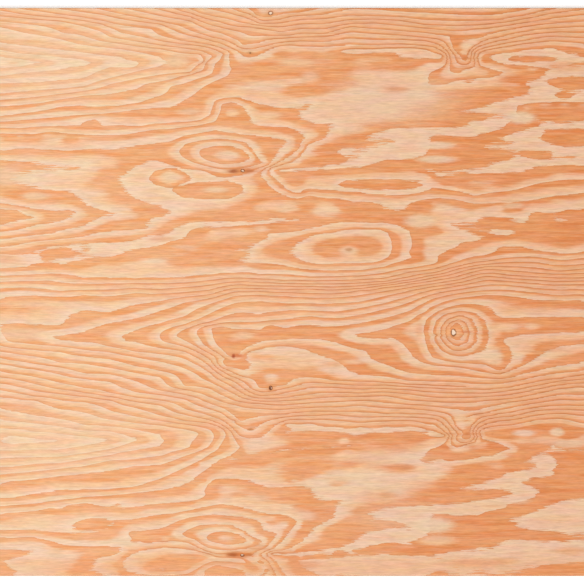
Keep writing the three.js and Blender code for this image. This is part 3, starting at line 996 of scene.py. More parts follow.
    (-2, [430, 845, 442, 850, 454, 857, 463, 866, 468, 876, 474, 886, 480, 894, 472, 904, 456, 912,
        438, 920, 420, 934, 400, 948, 380, 964, 360, 972, 320, 981, 270, 986, 220, 991, 170, 994,
        120, 1000, 70, 1007, 20, 1011]),
    (-2, [540, 907, 570, 899, 670, 894, 704, 890]),
    (-2, [570, 864, 600, 861, 640, 862, 690, 866, 710, 873, 720, 869, 760, 865, 824, 861, 850, 865,
        870, 874]),
    (-2, [982, 871]),
    (-2, [982, 871]),
    (-2, [1104, 889, 1100, 898, 1080, 906, 1056, 924, 1072, 930, 1060, 938, 1030, 943, 1012, 948,
        1000, 956, 980, 962, 936, 972, 924, 979, 960, 981, 1000, 978, 1020, 982, 1016, 988, 1004,
        994, 956, 1001, 930, 1006, 800, 1014, 770, 1017, 750, 1022, 732, 1027, 744, 1032, 746,
        1040, 760, 1038, 784, 1041, 810, 1048, 818, 1057, 790, 1054, 744, 1064, 724, 1071, 714,
        1080, 690, 1091, 660, 1097, 600, 1106]),
    (-2, [600, 1112, 720, 1098, 744, 1091, 764, 1087, 790, 1086, 820, 1090]),
    (-2, [600, 1119, 624, 1117, 670, 1115, 720, 1111, 770, 1109, 864, 1113, 880, 1108, 920, 1102,
        980, 1095, 1010, 1082, 1040, 1080, 1090, 1083, 1120, 1082, 1168, 1079]),
    (-2, [858, 1152, 868, 1145, 880, 1143, 910, 1152]),
    (-2, [600, 1120, 606, 1132, 618, 1142, 636, 1150]),
    (-2, [930, 1152, 1000, 1148, 1030, 1142, 1060, 1138, 1090, 1131, 1120, 1127, 1168, 1125]),
    (-2, [1168, 901, 1130, 901, 1106, 904, 1102, 912, 1112, 920, 1112, 932, 1104, 940, 1106, 950,
        1090, 954, 1064, 956, 1044, 964, 1056, 972, 1080, 982, 1074, 992, 1050, 1002, 1016, 1009]),
    (-2, [1168, 997, 1140, 1000, 1116, 1005, 1090, 1013, 1050, 1032, 1016, 1039, 1040, 1054, 1060,
        1061, 1084, 1062, 1110, 1062, 1132, 1067, 1168, 1069]),
    (-2, [600, 1106, 560, 1107, 544, 1108]),
    (-2, [972, 1024, 956, 1031, 910, 1032, 890, 1028, 868, 1028, 862, 1040, 860, 1060, 854, 1072,
        822, 1083]),
    (-2, [972, 1024, 1000, 1019]),
    (-1, [40, 18, 80, 23, 120, 29, 160, 34, 200, 41, 240, 50, 280, 56, 300, 58, 320, 71, 360, 81,
        420, 90, 440, 96, 454, 102, 458, 108, 458, 120, 462, 140, 454, 152, 430, 162, 410, 172,
        380, 194, 360, 206, 340, 214, 280, 218, 220, 226, 160, 230, 0, 244]),
    (-1, [983, 116, 990, 110, 1000, 107, 1020, 106, 1050, 100, 1090, 98, 1100, 96, 1120, 102, 1150,
        109, 1168, 114]),
    (-1, [983, 116, 990, 122, 1000, 127, 1020, 130, 1050, 131, 1070, 134, 1090, 136, 1110, 131,
        1124, 134, 1140, 133, 1152, 125, 1168, 122]),
    (-1, [1016, 118, 1024, 114, 1060, 112, 1100, 113, 1120, 118, 1100, 123, 1060, 124, 1024, 122,
        1016, 118]),
    (-1, [680, 102, 700, 98, 750, 98, 800, 96, 824, 96, 850, 99, 870, 106, 884, 110]),
    (-1, [870, 117, 850, 116, 824, 117, 800, 114]),
    (-1, [1096, 140, 1090, 150, 1070, 160, 1050, 168, 1064, 180, 1050, 190, 1030, 194, 960, 216,
        936, 220, 920, 224, 940, 226, 1000, 228, 996, 234, 960, 240, 940, 242, 930, 252, 880,
        256]),
    (-1, [1104, 156, 1140, 153, 1168, 154]),
    (-1, [1104, 172, 1130, 180, 1168, 182]),
    (-1, [1110, 188, 1130, 184, 1150, 188, 1140, 196, 1120, 196]),
    (-1, [1036, 226, 1032, 214, 1060, 206, 1120, 203, 1168, 205]),
    (-1, [1010, 234, 1040, 235, 1096, 242, 1120, 248, 1168, 241]),
    (-1, [880, 270, 910, 273, 940, 274, 1000, 259, 1020, 244, 1014, 234]),
    (-1, [1090, 244, 1070, 254, 994, 277, 1022, 282, 1016, 288, 980, 291, 970, 296, 1040, 301,
        1100, 303, 1106, 312, 1150, 316, 1070, 319, 1040, 311, 1014, 322, 980, 326, 976, 334, 956,
        338, 920, 341, 890, 342, 868, 346, 850, 341]),
    (-1, [850, 341]),
    (-1, [1080, 276, 1090, 262, 1120, 257, 1168, 257]),
    (-1, [1080, 276, 1100, 288, 1130, 294, 1168, 292]),
    (-1, [880, 256, 840, 255, 790, 256, 770, 263, 740, 268, 734, 276, 760, 281, 784, 283, 760, 286,
        754, 293, 724, 296, 700, 295, 680, 298, 676, 306, 686, 312, 708, 319, 690, 325, 650, 331,
        600, 337, 580, 338, 560, 340]),
    (-1, [700, 306, 712, 302, 724, 305, 716, 310, 700, 309]),
    (-1, [560, 342, 580, 342, 600, 343, 650, 340, 690, 336, 720, 335, 744, 329, 760, 323, 780, 318,
        800, 321, 824, 317]),
    (-1, [872, 352, 890, 352, 920, 348, 1040, 344, 1060, 336, 1080, 332, 1168, 331]),
    (-1, [420, 848, 436, 853, 446, 859, 452, 868, 450, 876, 443, 886, 434, 899, 414, 912, 396, 923,
        370, 935, 344, 947, 320, 958, 270, 973, 220, 978, 170, 979, 120, 980, 70, 988, 20, 996]),
    (-1, [860, 274, 859, 282, 861, 292, 858, 302, 846, 311, 824, 316]),
    (-1, [800, 114, 792, 106, 788, 99]),
    (0, [0, 21, 40, 28, 80, 33, 120, 36, 160, 41, 200, 48, 230, 59, 240, 65, 280, 73, 320, 82, 360,
        88, 390, 91, 410, 94, 430, 100, 446, 108, 440, 119, 430, 128, 424, 146, 410, 154, 400, 156,
        370, 166, 344, 172, 336, 182, 320, 192, 300, 197, 280, 205, 240, 211, 200, 213, 160, 211,
        120, 214, 80, 222, 40, 228, 0, 232]),
    (0, [370, 849, 400, 854, 420, 860, 428, 870, 426, 882, 416, 894, 396, 903, 320, 930, 270, 932,
        220, 941, 170, 947, 120, 952, 70, 959, 20, 963]),
    (1, [0, 33, 40, 36, 80, 40, 120, 43, 160, 51, 200, 62, 220, 74, 240, 78, 280, 84, 320, 91, 360,
        96, 400, 102, 424, 112, 412, 124, 406, 140, 380, 149, 360, 153, 344, 158, 320, 163, 290,
        168, 276, 177, 240, 185, 200, 189, 170, 191, 120, 199, 80, 206, 40, 210, 0, 213]),
    (1, [320, 851, 370, 859, 388, 863, 398, 867, 376, 895, 344, 904, 320, 912, 270, 918, 220, 921,
        170, 932, 70, 943, 20, 947]),
    (2, [126, 66, 160, 70, 200, 82, 240, 88, 280, 94, 320, 98, 360, 106, 400, 109, 408, 120, 406,
        124, 392, 132, 380, 144, 350, 146, 320, 149, 290, 154, 260, 160, 220, 168]),
    (2, [270, 859, 300, 865, 320, 872, 328, 881, 320, 892, 236, 906, 220, 910, 120, 926, 70, 928,
        20, 934]),
    (2, [270, 859, 300, 865]),
    (3, [0, 54, 40, 64, 120, 78, 160, 89, 200, 94, 240, 98, 280, 105, 320, 114, 334, 126, 320, 132,
        280, 141, 200, 161, 170, 172, 124, 177, 40, 183, 0, 187]),
    (3, [220, 863, 250, 870, 274, 880, 250, 889, 220, 898, 170, 906, 120, 913, 20, 916]),
    (4, [0, 85, 80, 95, 160, 104, 200, 110, 240, 114, 278, 126, 270, 134, 240, 135, 220, 134, 200,
        141, 170, 155, 80, 164, 0, 167]),
    (4, [170, 873, 200, 876, 224, 881, 200, 886, 120, 899, 70, 899, 20, 901]),
    (5, [0, 100, 40, 107, 80, 110, 120, 115, 160, 118, 184, 125, 170, 131, 144, 134, 120, 139, 80,
        143, 40, 147, 0, 152]),
    (5, [80, 878, 116, 881, 100, 884, 70, 886, 20, 888]),
    (6, [0, 114, 40, 118, 84, 125, 40, 133, 0, 136]),
]
ringSpots = [
    # ring number, then x and y of each place
    (-16.7, [870, 670, 870, 690, 980, 690, 976, 650, 1000, 652, 1030, 654, 1060, 654, 982, 710,
        994, 716]),
    (-16.3, [1120, 650, 1156, 650]),
    (-16.25, [856, 670, 860, 690, 1040, 641, 1090, 641, 1040, 663, 1090, 662, 1010, 668, 1002, 680,
        1012, 696, 1018, 712, 1012, 728, 990, 734, 1004, 642]),
    (-15.8, [1040, 690, 1036, 710, 1060, 680, 1034, 724, 1100, 674, 1160, 672, 1026, 686]),
    (-15.7, [820, 660, 840, 672, 844, 692, 830, 650]),
    (-15.65, [1010, 620, 1050, 620, 1100, 622, 1156, 622, 1014, 628]),
    (-15.5, [804, 666, 820, 676, 834, 690, 842, 706, 856, 720, 1068, 700, 1080, 687, 1100, 682,
        1160, 679]),
    (-15.3, [1090, 694, 1120, 686, 1150, 685]),
    (-15.25, [730, 670, 760, 670, 790, 668, 816, 684, 828, 700, 1100, 606, 1130, 610, 1156, 608]),
    (-14.8, [720, 682, 750, 684, 776, 684, 796, 694, 810, 714]),
    (-14.6, [480, 668, 500, 669]),
    (-14.25, [440, 672, 480, 690, 524, 674, 580, 668, 640, 668, 600, 656, 440, 656, 540, 654, 744,
        700, 770, 700, 780, 716, 800, 732, 700, 688]),
    (-13.5, [690, 704, 710, 714, 730, 726, 750, 739]),
    (-13.3, [456, 727, 476, 731, 490, 732]),
    (-13.25, [660, 708, 690, 724, 710, 738]),
    (-12.8, [580, 706, 620, 716, 650, 732, 690, 752, 600, 724, 524, 724, 490, 748, 524, 705, 560,
        706, 490, 745, 508, 732]),
    (-12.65, [536, 752, 548, 752, 540, 762]),
    (-12.48, [616, 737, 628, 737]),
    (-12.45, [510, 714, 524, 713, 536, 712]),
    (-12.3, [514, 750, 520, 760, 540, 743, 564, 748, 566, 760, 584, 746]),
    (-7.8, [940, 825, 954, 824]),
    (-7.6, [440, 1076, 460, 1077]),
    (-7.5, [16, 620, 24, 614, 44, 613, 62, 618, 56, 625, 30, 625, 16, 620]),
    (-7.4, [40, 620]),
    (-7.2, [424, 1073, 444, 1067, 464, 1069, 486, 1080, 450, 1086]),
    (-6.8, [444, 310, 464, 311]),
    (-6.78, [914, 840, 912, 830, 926, 828, 920, 840]),
    (-6.7, [400, 1072, 420, 1060, 456, 1058, 480, 1064, 416, 1085, 916, 848, 920, 854, 942, 848,
        946, 842]),
    (-6.35, [934, 842, 934, 852, 932, 862, 932, 872]),
    (-6.3, [940, 73, 956, 73, 376, 1066, 400, 1057, 430, 1053, 464, 1058, 490, 1069, 510, 1086,
        480, 1095, 430, 1093]),
    (-6.25, [16, 1106, 44, 1105, 6, 1132, 16, 1146]),
    (-5.8, [60, 1120, 100, 1120, 136, 1116, 80, 1140, 110, 1106, 40, 1090, 80, 1092]),
    (-5.75, [940, 84, 946, 92, 940, 98, 954, 88, 960, 80]),
    (-5.7, [932, 88, 936, 98, 350, 1066, 380, 1051, 430, 1041, 470, 1045, 504, 1058, 931, 94, 934,
        104]),
    (-5.5, [330, 1081, 342, 1068, 356, 1056, 374, 1046, 120, 1098, 156, 1102, 168, 1108, 160, 1118,
        152, 1128, 142, 1138, 136, 1148]),
    (-5.4, [472, 824, 500, 825]),
    (-5.35, [912, 76, 914, 88, 921, 100, 927, 110]),
    (-5.3, [910, 88, 916, 104, 912, 74, 928, 74, 270, 1067, 320, 1068, 344, 1056, 380, 1041, 430,
        1035, 480, 1040, 514, 1052, 520, 1064, 540, 1070, 430, 1142, 460, 1144, 524, 1124, 534,
        1140]),
    (-5.25, [200, 1099, 224, 1100, 176, 1112, 168, 1124, 160, 1136, 156, 1148, 190, 1104, 40, 1078,
        70, 1079, 120, 1093]),
    (-4.9, [300, 1090, 350, 1089]),
    (-4.75, [120, 320, 160, 316, 200, 316, 120, 356, 150, 360, 180, 344, 120, 372]),
    (-4.7, [324, 356, 340, 348, 356, 356, 340, 364, 260, 1053, 320, 1046, 370, 1031, 430, 1021,
        490, 1028, 524, 1036, 540, 1036, 570, 1050, 556, 1060, 540, 1056, 250, 1076, 230, 1090,
        270, 1094, 430, 1127, 480, 1132, 504, 1146, 216, 1124, 230, 1140, 232, 1120, 216, 1136,
        250, 1096, 236, 1080]),
    (-4.55, [420, 376, 444, 376]),
    (-4.45, [530, 1045, 550, 1045, 564, 1043]),
    (-4.4, [306, 356, 340, 340, 374, 356, 340, 372, 180, 1048, 194, 1048]),
    (-4.3, [530, 288, 550, 290, 360, 380, 390, 372, 390, 390, 470, 378, 450, 390, 430, 368, 40,
        1066, 100, 1071, 250, 1046, 300, 1037, 380, 1025, 444, 1013, 500, 1024]),
    (-4.25, [250, 332, 216, 352, 206, 364, 224, 376, 236, 392, 280, 418, 310, 422, 260, 442, 230,
        452, 990, 444, 1020, 452, 1060, 456, 1120, 460, 1160, 450, 1000, 480, 960, 486, 930, 496,
        1080, 434, 1140, 430, 1080, 476]),
    (-3.9, [990, 464, 1016, 465]),
    (-3.85, [270, 1124, 300, 1106, 360, 1102, 280, 1136]),
    (-3.75, [880, 420, 910, 426, 1000, 418, 1060, 418, 1110, 414, 1168, 408, 650, 410, 670, 420,
        640, 424, 520, 416, 550, 410, 580, 408, 570, 420, 500, 370, 496, 384, 490, 394, 300, 336,
        400, 344, 400, 408, 450, 410, 320, 390, 470, 360, 430, 464, 480, 462, 520, 458, 200, 536,
        260, 534, 320, 524, 220, 540, 320, 540, 400, 538, 480, 538, 860, 480, 890, 470, 920, 476,
        890, 490, 860, 500, 910, 436, 940, 428]),
    (-3.7, [458, 226, 470, 226, 450, 984, 480, 1000, 524, 1014, 570, 1018, 590, 1026, 40, 1040, 90,
        1034, 150, 1034, 220, 1029, 300, 1022, 400, 1007, 424, 1117, 450, 1119, 480, 1120]),
    (-3.6, [100, 278, 120, 278, 300, 1145, 330, 1146, 360, 1145, 390, 1131, 410, 1121, 900, 892,
        930, 902, 956, 894, 970, 887]),
    (-3.5, [864, 406, 890, 408, 920, 414, 940, 420, 960, 417, 1000, 412, 1060, 409, 1110, 400,
        1168, 395, 600, 406, 612, 403, 628, 408, 630, 416, 616, 422, 602, 418, 336, 524, 360, 510,
        390, 500, 400, 489, 430, 484, 450, 478, 490, 472, 516, 462, 540, 459, 580, 458, 356, 532,
        400, 533, 450, 533, 490, 533, 0, 274, 40, 273, 90, 271, 130, 272, 160, 276, 436, 974, 464,
        970, 490, 977, 504, 984, 530, 1000, 560, 1002, 584, 1006, 600, 1020, 610, 1032, 604, 1044,
        286, 1134, 300, 1122, 320, 1114, 344, 1109, 380, 1107, 410, 1111]),
    (-3.45, [470, 990]),
    (-3.4, [1010, 422, 1036, 422]),
    (-3.3, [606, 412, 620, 412, 460, 428, 500, 426, 540, 425, 530, 376, 524, 392, 500, 406, 470,
        418, 588, 268, 598, 278]),
    (-3.25, [690, 416, 720, 424, 760, 430, 800, 434, 830, 424, 700, 436, 850, 416, 832, 470, 836,
        490, 834, 512, 850, 466, 876, 466, 370, 520, 400, 516, 430, 510, 460, 510, 410, 500, 450,
        490, 480, 488, 510, 474, 530, 468, 448, 214, 460, 209, 480, 218, 490, 232, 448, 236, 470,
        242, 20, 277, 60, 279, 140, 280, 150, 274, 390, 462, 410, 462, 100, 506, 140, 504, 144,
        532, 176, 528, 60, 1025, 120, 1022, 170, 1016, 200, 1020, 250, 1023, 300, 1014, 380, 1008,
        424, 984, 428, 968, 450, 963, 490, 968, 524, 980, 560, 986, 596, 984, 610, 1000, 650, 1012,
        654, 1028, 630, 1040, 608, 1060, 864, 914, 890, 912, 920, 910, 956, 907, 980, 900, 1000,
        896]),
    (-3.2, [310, 1132, 340, 1124, 380, 1118, 350, 1136, 400, 1120]),
    (-3.06, [300, 1140, 330, 1142, 360, 1140]),
    (-2.9, [0, 510, 40, 514, 70, 516]),
    (-2.85, [280, 488, 330, 479, 360, 464, 390, 451, 460, 449, 520, 446, 150, 497, 200, 500]),
    (-2.8, [492, 892, 510, 894, 528, 890, 550, 884, 500, 902]),
    (-2.75, [890, 148, 920, 150, 950, 145, 968, 146, 516, 500, 516, 514, 540, 520, 570, 524, 544,
        480, 570, 474, 810, 480, 810, 504, 680, 453, 740, 452, 790, 460, 516, 236, 536, 242, 560,
        246, 618, 264, 628, 270, 680, 912, 720, 940, 680, 954, 640, 956, 760, 956, 840, 952, 800,
        914, 740, 968, 700, 980, 660, 984, 800, 972, 860, 940, 880, 924, 650, 978, 524, 894, 560,
        886, 690, 884, 566, 1120, 572, 1134, 580, 1148]),
    (-2.7, [700, 396, 740, 400, 780, 403, 880, 392, 940, 401, 1000, 399, 1060, 391, 1110, 382,
        1168, 377, 860, 886, 880, 882, 840, 896, 1150, 882, 1120, 882, 1080, 883, 1040, 884, 1168,
        874, 940, 923, 980, 918, 1010, 911, 890, 934]),
    (-2.65, [480, 944, 524, 948, 550, 960, 590, 962]),
    (-2.6, [990, 930, 1000, 934]),
    (-2.48, [666, 963, 686, 963]),
    (-2.47, [780, 906, 800, 904]),
    (-2.45, [690, 928, 710, 933, 784, 934, 800, 933, 820, 933, 740, 992, 760, 990, 780, 986]),
    (-2.4, [550, 862, 566, 858]),
    (-2.35, [1030, 872, 1070, 870, 1112, 868]),
    (-2.3, [864, 156, 876, 160, 888, 163, 904, 160, 984, 145, 1000, 146, 536, 500, 560, 484, 560,
        514, 590, 476, 620, 467, 790, 474, 792, 504, 536, 220, 560, 230, 586, 224, 570, 236, 634,
        254, 644, 264, 390, 968, 406, 956, 424, 940, 444, 932, 410, 964, 300, 990, 360, 984, 470,
        926, 500, 926, 524, 926, 480, 923, 590, 932, 620, 932, 650, 928, 600, 948, 630, 940, 580,
        956, 1140, 866, 1150, 874, 1130, 876, 1040, 889, 1070, 892, 1090, 889, 890, 1036, 890,
        1056, 880, 1074, 860, 1084, 916, 1070]),
    (-2.25, [550, 912, 580, 906, 620, 904, 670, 901, 600, 870, 640, 872, 676, 872, 730, 878, 770,
        876, 810, 874, 836, 874, 1000, 868, 1030, 865, 1060, 863, 1090, 862, 1040, 906, 1070, 900,
        1020, 920, 980, 946, 940, 940, 920, 954, 900, 970, 860, 986, 900, 994, 950, 990, 990, 986,
        880, 998, 820, 1004, 770, 1008, 734, 1016, 700, 1050, 670, 1066, 690, 1076, 660, 1086, 624,
        1096, 730, 1030, 590, 1132, 600, 1144, 1100, 1138, 1140, 1136, 1160, 1142, 1140, 910, 1140,
        930, 1150, 950, 1110, 964, 1140, 980, 1100, 990, 1080, 1006, 1040, 1014, 1000, 1020, 970,
        1030, 940, 1040, 950, 1060, 980, 1050, 1020, 1060, 980, 1080, 940, 1086, 1060, 1072, 1120,
        1072]),
    (-2.2, [700, 368, 760, 369, 820, 370, 770, 1048, 800, 1052, 620, 1114, 680, 1109, 740, 1101,
        790, 1096, 840, 1099, 880, 1097, 880, 1149, 576, 1116, 588, 1115]),
    (-2.15, [992, 864, 1006, 862, 1016, 861]),
    (-2.1, [1120, 948, 1150, 954]),
    (-2.07, [444, 924, 456, 923, 470, 922, 484, 920, 500, 919, 512, 919, 524, 919]),
    (-1.96, [900, 1122, 960, 1116, 1010, 1120, 960, 1134, 910, 1132]),
    (-1.9, [580, 853, 620, 854, 670, 858, 720, 860, 770, 859, 810, 858, 620, 1107, 660, 1104, 700,
        1098, 660, 1124, 720, 1120, 800, 1118, 900, 1112, 1000, 1100, 1080, 1096, 1150, 1090, 700,
        1136, 800, 1130, 1040, 1116]),
    (-1.85, [840, 858, 870, 867, 886, 870, 840, 1030, 880, 1020, 960, 1010, 790, 1028, 850, 1060,
        800, 1076, 760, 1074, 740, 1086, 700, 1100, 940, 1125, 980, 1125, 1080, 920, 1090, 936,
        1070, 944, 1030, 954, 1000, 968, 1040, 980, 1050, 990, 980, 1006, 1040, 956, 1060, 1042,
        1090, 1028, 1120, 1016, 1160, 1020, 1140, 1050, 1090, 1050]),
    (-1.8, [680, 356, 740, 353, 800, 352, 840, 352, 690, 379, 740, 384, 800, 385, 850, 377]),
    (-1.75, [640, 210, 700, 200, 760, 196, 820, 190, 680, 230, 620, 198, 1120, 353, 1168, 353, 616,
        500, 612, 490, 624, 514, 644, 476, 690, 467, 740, 466, 768, 480, 770, 504, 740, 517, 680,
        521, 636, 518]),
    (-1.7, [976, 130, 996, 132, 580, 99, 650, 100, 860, 130, 880, 129, 720, 150, 780, 150, 840,
        144, 616, 364, 640, 363, 664, 364, 854, 354, 860, 364, 350, 956, 380, 944, 410, 924, 330,
        966]),
    (-1.65, [574, 124, 596, 125, 620, 125, 520, 167, 560, 165, 594, 162, 1012, 147, 1024, 144, 900,
        176, 940, 174, 970, 168, 996, 162]),
    (-1.6, [720, 120, 750, 121, 780, 120, 460, 182, 500, 184, 540, 186, 570, 192, 686, 500, 700,
        506, 708, 500, 700, 495]),
    (-1.55, [944, 365, 980, 364]),
    (-1.5, [470, 120, 520, 120, 550, 114, 580, 115, 660, 118, 460, 170, 480, 166, 516, 162, 550,
        160, 580, 157, 600, 155, 600, 194, 630, 192, 660, 184, 700, 176, 712, 170, 1000, 158, 1020,
        152, 1044, 142, 1070, 136, 880, 180, 880, 192, 876, 206, 850, 208, 824, 214, 818, 224, 808,
        236, 888, 184, 920, 180, 960, 180, 1010, 172, 1040, 169, 1040, 224, 1050, 214, 1090, 209,
        1130, 208, 1168, 210, 584, 332, 606, 322, 632, 314, 632, 300, 660, 284, 700, 268, 724, 254,
        760, 247, 800, 242, 620, 353, 650, 352, 690, 350, 720, 349, 760, 345, 800, 344, 830, 343,
        890, 372, 920, 378, 960, 380, 1000, 376, 1030, 368, 1050, 360, 1090, 356, 1104, 348, 1168,
        347]),
    (-1.4, [780, 181, 806, 181]),
    (-1.3, [560, 109, 620, 109, 680, 110, 740, 111, 780, 111, 470, 130, 500, 136, 540, 140, 600,
        144, 650, 140, 680, 138, 480, 146, 440, 164, 520, 150, 590, 180, 620, 176, 650, 172, 690,
        168, 620, 186, 930, 290, 960, 300, 940, 312, 990, 310, 950, 324, 1060, 310, 1090, 312, 584,
        352, 600, 360, 594, 370, 636, 500, 660, 482, 690, 482, 730, 482, 756, 492, 730, 508, 660,
        510, 456, 876, 452, 892, 438, 908, 410, 922, 380, 937, 350, 952, 880, 290, 900, 304, 896,
        320, 872, 330, 876, 306]),
    (-1.25, [970, 114, 976, 120, 760, 128, 790, 127, 820, 126, 850, 123, 1040, 156, 1070, 150, 910,
        196, 950, 200, 1000, 188, 1040, 182, 890, 230, 920, 234, 950, 234, 900, 244, 850, 236,
        1120, 166, 1150, 168, 1070, 224, 1110, 224, 1150, 224, 1090, 234, 1030, 248, 1060, 246,
        1000, 266, 970, 278, 950, 282, 890, 275, 920, 277, 1110, 274, 1150, 274, 610, 330, 640,
        322, 670, 316, 656, 300, 690, 286, 710, 282, 740, 257, 790, 250, 840, 246, 900, 360, 940,
        355, 1000, 356, 1040, 355, 1080, 342, 1140, 339]),
    (-1.2, [1030, 118, 1060, 118, 1100, 118, 610, 346, 650, 346, 690, 343, 730, 340, 760, 334, 800,
        332, 824, 328]),
    (-1.15, [1124, 190, 1140, 191]),
    (-0.92, [580, 340, 620, 339, 660, 336, 690, 332]),
    (-0.85, [996, 116, 1006, 112, 1060, 107, 1120, 108, 1060, 127, 1120, 128, 1150, 120, 810, 104,
        850, 108, 880, 114, 1080, 180, 1090, 194, 1060, 200, 1000, 214, 960, 222, 1030, 216, 1168,
        144, 1124, 142, 1168, 192, 1160, 200, 1100, 204, 1020, 280, 1060, 282, 1030, 292, 1070,
        266, 1060, 297, 1120, 298, 1168, 297, 1000, 328, 1060, 327, 1120, 324, 1168, 324, 1120,
        252, 1168, 249, 790, 270, 820, 270, 800, 296, 840, 290, 770, 304, 740, 316, 690, 303]),
    (0.7, [406, 872, 396, 886, 388, 898]),
    (1.3, [366, 876, 364, 886]),
    (1.6, [344, 876, 344, 886]),
    (4.6, [124, 882, 144, 882]),
    (5.2, [30, 880, 50, 881]),
    (6.6, [30, 126]),
]
ringCrossings = [
    # x, ring number of the first line crossed there, change from line to line, then the lines' y
    (950, -10, 1, [30, 42, 51, 59, 77]),
    (1000, -10, 1, [28, 40, 46, 54, 63, 75, 82, 90, 96, 107]),
    (1050, -10, 1, [20, 31, 38, 46, 54, 64, 71, 82, 88, 100]),
    (1100, -9, 1, [20, 28, 38, 48, 57, 66, 74, 83, 96]),
    (1156, -8, 1, [21, 31, 44, 54, 66, 76, 86, 106]),
    (120, -4, -1, [548, 564, 582, 593]),
    (170, -4, -1, [555, 567, 580, 590, 620]),
    (220, -4, -1, [556, 567, 579, 592, 624, 646]),
    (270, -4, -1, [557, 566, 576, 586, 610, 637]),
    (320, -4, -1, [556, 566, 578, 587, 602, 622, 646]),
    (370, -4, -1, [554, 565, 574, 584, 594, 605, 632, 648, 658]),
    (420, -4, -1, [549, 560, 569, 579, 588, 596, 608, 627, 643, 650, 657]),
    (470, -4, -1, [546, 555, 563, 569, 576, 583, 592, 606, 626, 644, 658]),
    (520, -4, -1, [548, 557, 564, 571, 576, 582, 590, 603, 628, 643, 660]),
    (570, -4, -1, [548, 560, 566, 571, 578, 584, 592, 607, 621, 639, 660]),
    (620, -4, -1, [553, 561, 567, 572, 577, 586, 595, 607, 621, 632, 650]),
    (670, -4, -1, [553, 560, 567, 573, 579, 586, 595, 607, 623, 636, 653]),
    (720, -4, -1, [551, 558, 565, 571, 576, 580, 590, 603, 616, 629, 646, 668]),
    (770, -4, -1, [545, 555, 562, 566, 570, 574, 582, 592, 606, 618, 636, 658]),
    (820, -4, -1, [536, 543, 552, 559, 563, 567, 574, 581, 592, 604, 621, 642]),
    (870, -4, -1, [527, 536, 544, 549, 554, 560, 566, 572, 578, 587, 596, 611, 626]),
    (920, -5, -1, [521, 531, 536, 543, 550, 558, 564, 570, 578, 586, 596, 609, 622]),
    (970, -5, -1, [510, 522, 528, 533, 538, 546, 552, 560, 570, 580, 590]),
    (1020, -5, -1, [495, 515, 524, 533, 540, 550, 556, 562, 570, 580, 592]),
    (1070, -5, -1, [502, 514, 524, 535, 545, 553, 559, 566, 576, 585, 599]),
    (1120, -5, -1, [506, 520, 530, 541, 547, 555, 562, 569, 579, 590, 600]),
    (1156, -5, -1, [506, 517, 529, 538, 546, 555, 561, 568, 578, 589, 600]),
    (20, -8, 1, [684, 695, 706, 720, 731, 747, 757, 770, 784, 796, 822, 842, 858, 870]),
    (70, -8, 1, [689, 700, 713, 728, 739, 754, 768, 782, 793, 801, 831, 847, 864, 877]),
    (120, -8, 1, [693, 704, 725, 735, 749, 766, 779, 788, 800, 818, 838, 853, 868]),
    (170, -9, 1, [684, 700, 713, 728, 747, 758, 776, 786, 794, 805, 825, 850, 861, 873]),
    (220, -9, 1, [693, 705, 719, 736, 749, 764, 786, 794, 801, 821, 839, 853, 863]),
    (270, -10, 1, [684, 703, 714, 732, 746, 762, 784, 795, 804, 816, 833, 846, 859, 874]),
    (320, -11, 1, [677, 696, 708, 724, 742, 754, 781, 790, 801, 811, 831, 842, 851, 868]),
    (370, -12, 1, [681, 694, 704, 718, 737, 772, 780, 790, 799, 818, 830, 842, 849, 859]),
    (420, -12, 1, [708, 720, 733, 746, 764, 778, 795, 807, 819, 832, 841, 848]),
    (470, -12, 1, [748, 756, 765, 778, 789, 802, 810, 831, 841]),
    (520, -12, 1, [776, 784, 792, 797, 803, 808, 818, 833]),
    (570, -12, 1, [770, 777, 786, 796, 802, 811, 819, 829, 835, 842, 848]),
    (620, -12, 1, [755, 766, 776, 789, 798, 807, 816, 824, 832, 840, 847]),
    (670, -12, 1, [762, 768, 776, 786, 794, 805, 815, 824, 830, 842, 853]),
    (720, -12, 1, [764, 771, 779, 787, 794, 802, 812, 825, 835, 846, 854]),
    (770, -12, 1, [766, 771, 778, 785, 792, 806, 816, 828, 834, 843, 853]),
    (820, -12, 1, [770, 774, 781, 789, 801, 810, 818, 829, 835, 842, 853]),
    (870, -12, 1, [772, 777, 786, 795, 804, 814, 823, 832, 839, 849, 862]),
    (916, -14, 1, [752, 765, 774, 779, 787, 796, 806, 818]),
    (970, -14, 1, [757, 768, 780, 787, 794, 802, 816, 827]),
    (1020, -14, 1, [756, 764, 776, 782, 790, 798, 805, 817, 826, 834, 841, 851, 860]),
    (1070, -14, 1, [743, 754, 765, 773, 780, 789, 799, 807, 816, 823, 832, 841, 856]),
    (1120, -14, 1, [732, 746, 758, 763, 771, 778, 790, 800, 812, 820, 828, 838, 855]),
    (1156, -14, 1, [727, 743, 752, 760, 767, 775, 791, 801, 812, 821, 831, 845, 861]),
]


def alongLine(numbers):
    # Points along a line, no further apart than the spacing: each stretch of it in even steps.
    ends = np.array(numbers, dtype=float).reshape(-1, 2)
    gaps = np.hypot(np.diff(ends[:, 0]) / drawing["stretch"], np.diff(ends[:, 1]))
    counts = np.maximum(1, np.ceil(gaps / drawing["spacing"]))
    places = np.concatenate([[0], np.cumsum(counts)])
    steps = np.arange(places[-1] + 1)
    return np.column_stack([np.interp(steps, places, ends[:, 0]),
                            np.interp(steps, places, ends[:, 1])])


def tracedPoints():
    # Every point of the drawing and its ring number.
    traced = [(alongLine(numbers), ring) for ring, numbers in ringLines]
    traced += [(np.array(numbers, dtype=float).reshape(-1, 2), ring) for ring, numbers in ringSpots]
    traced += [(np.column_stack([np.full(len(crossed), float(x)), crossed]),
                first + step * np.arange(len(crossed)))
               for x, first, step, crossed in ringCrossings]
    levels = [np.full(len(points), ring, dtype=float) for points, ring in traced]
    return np.concatenate([points for points, _ in traced]), np.concatenate(levels)


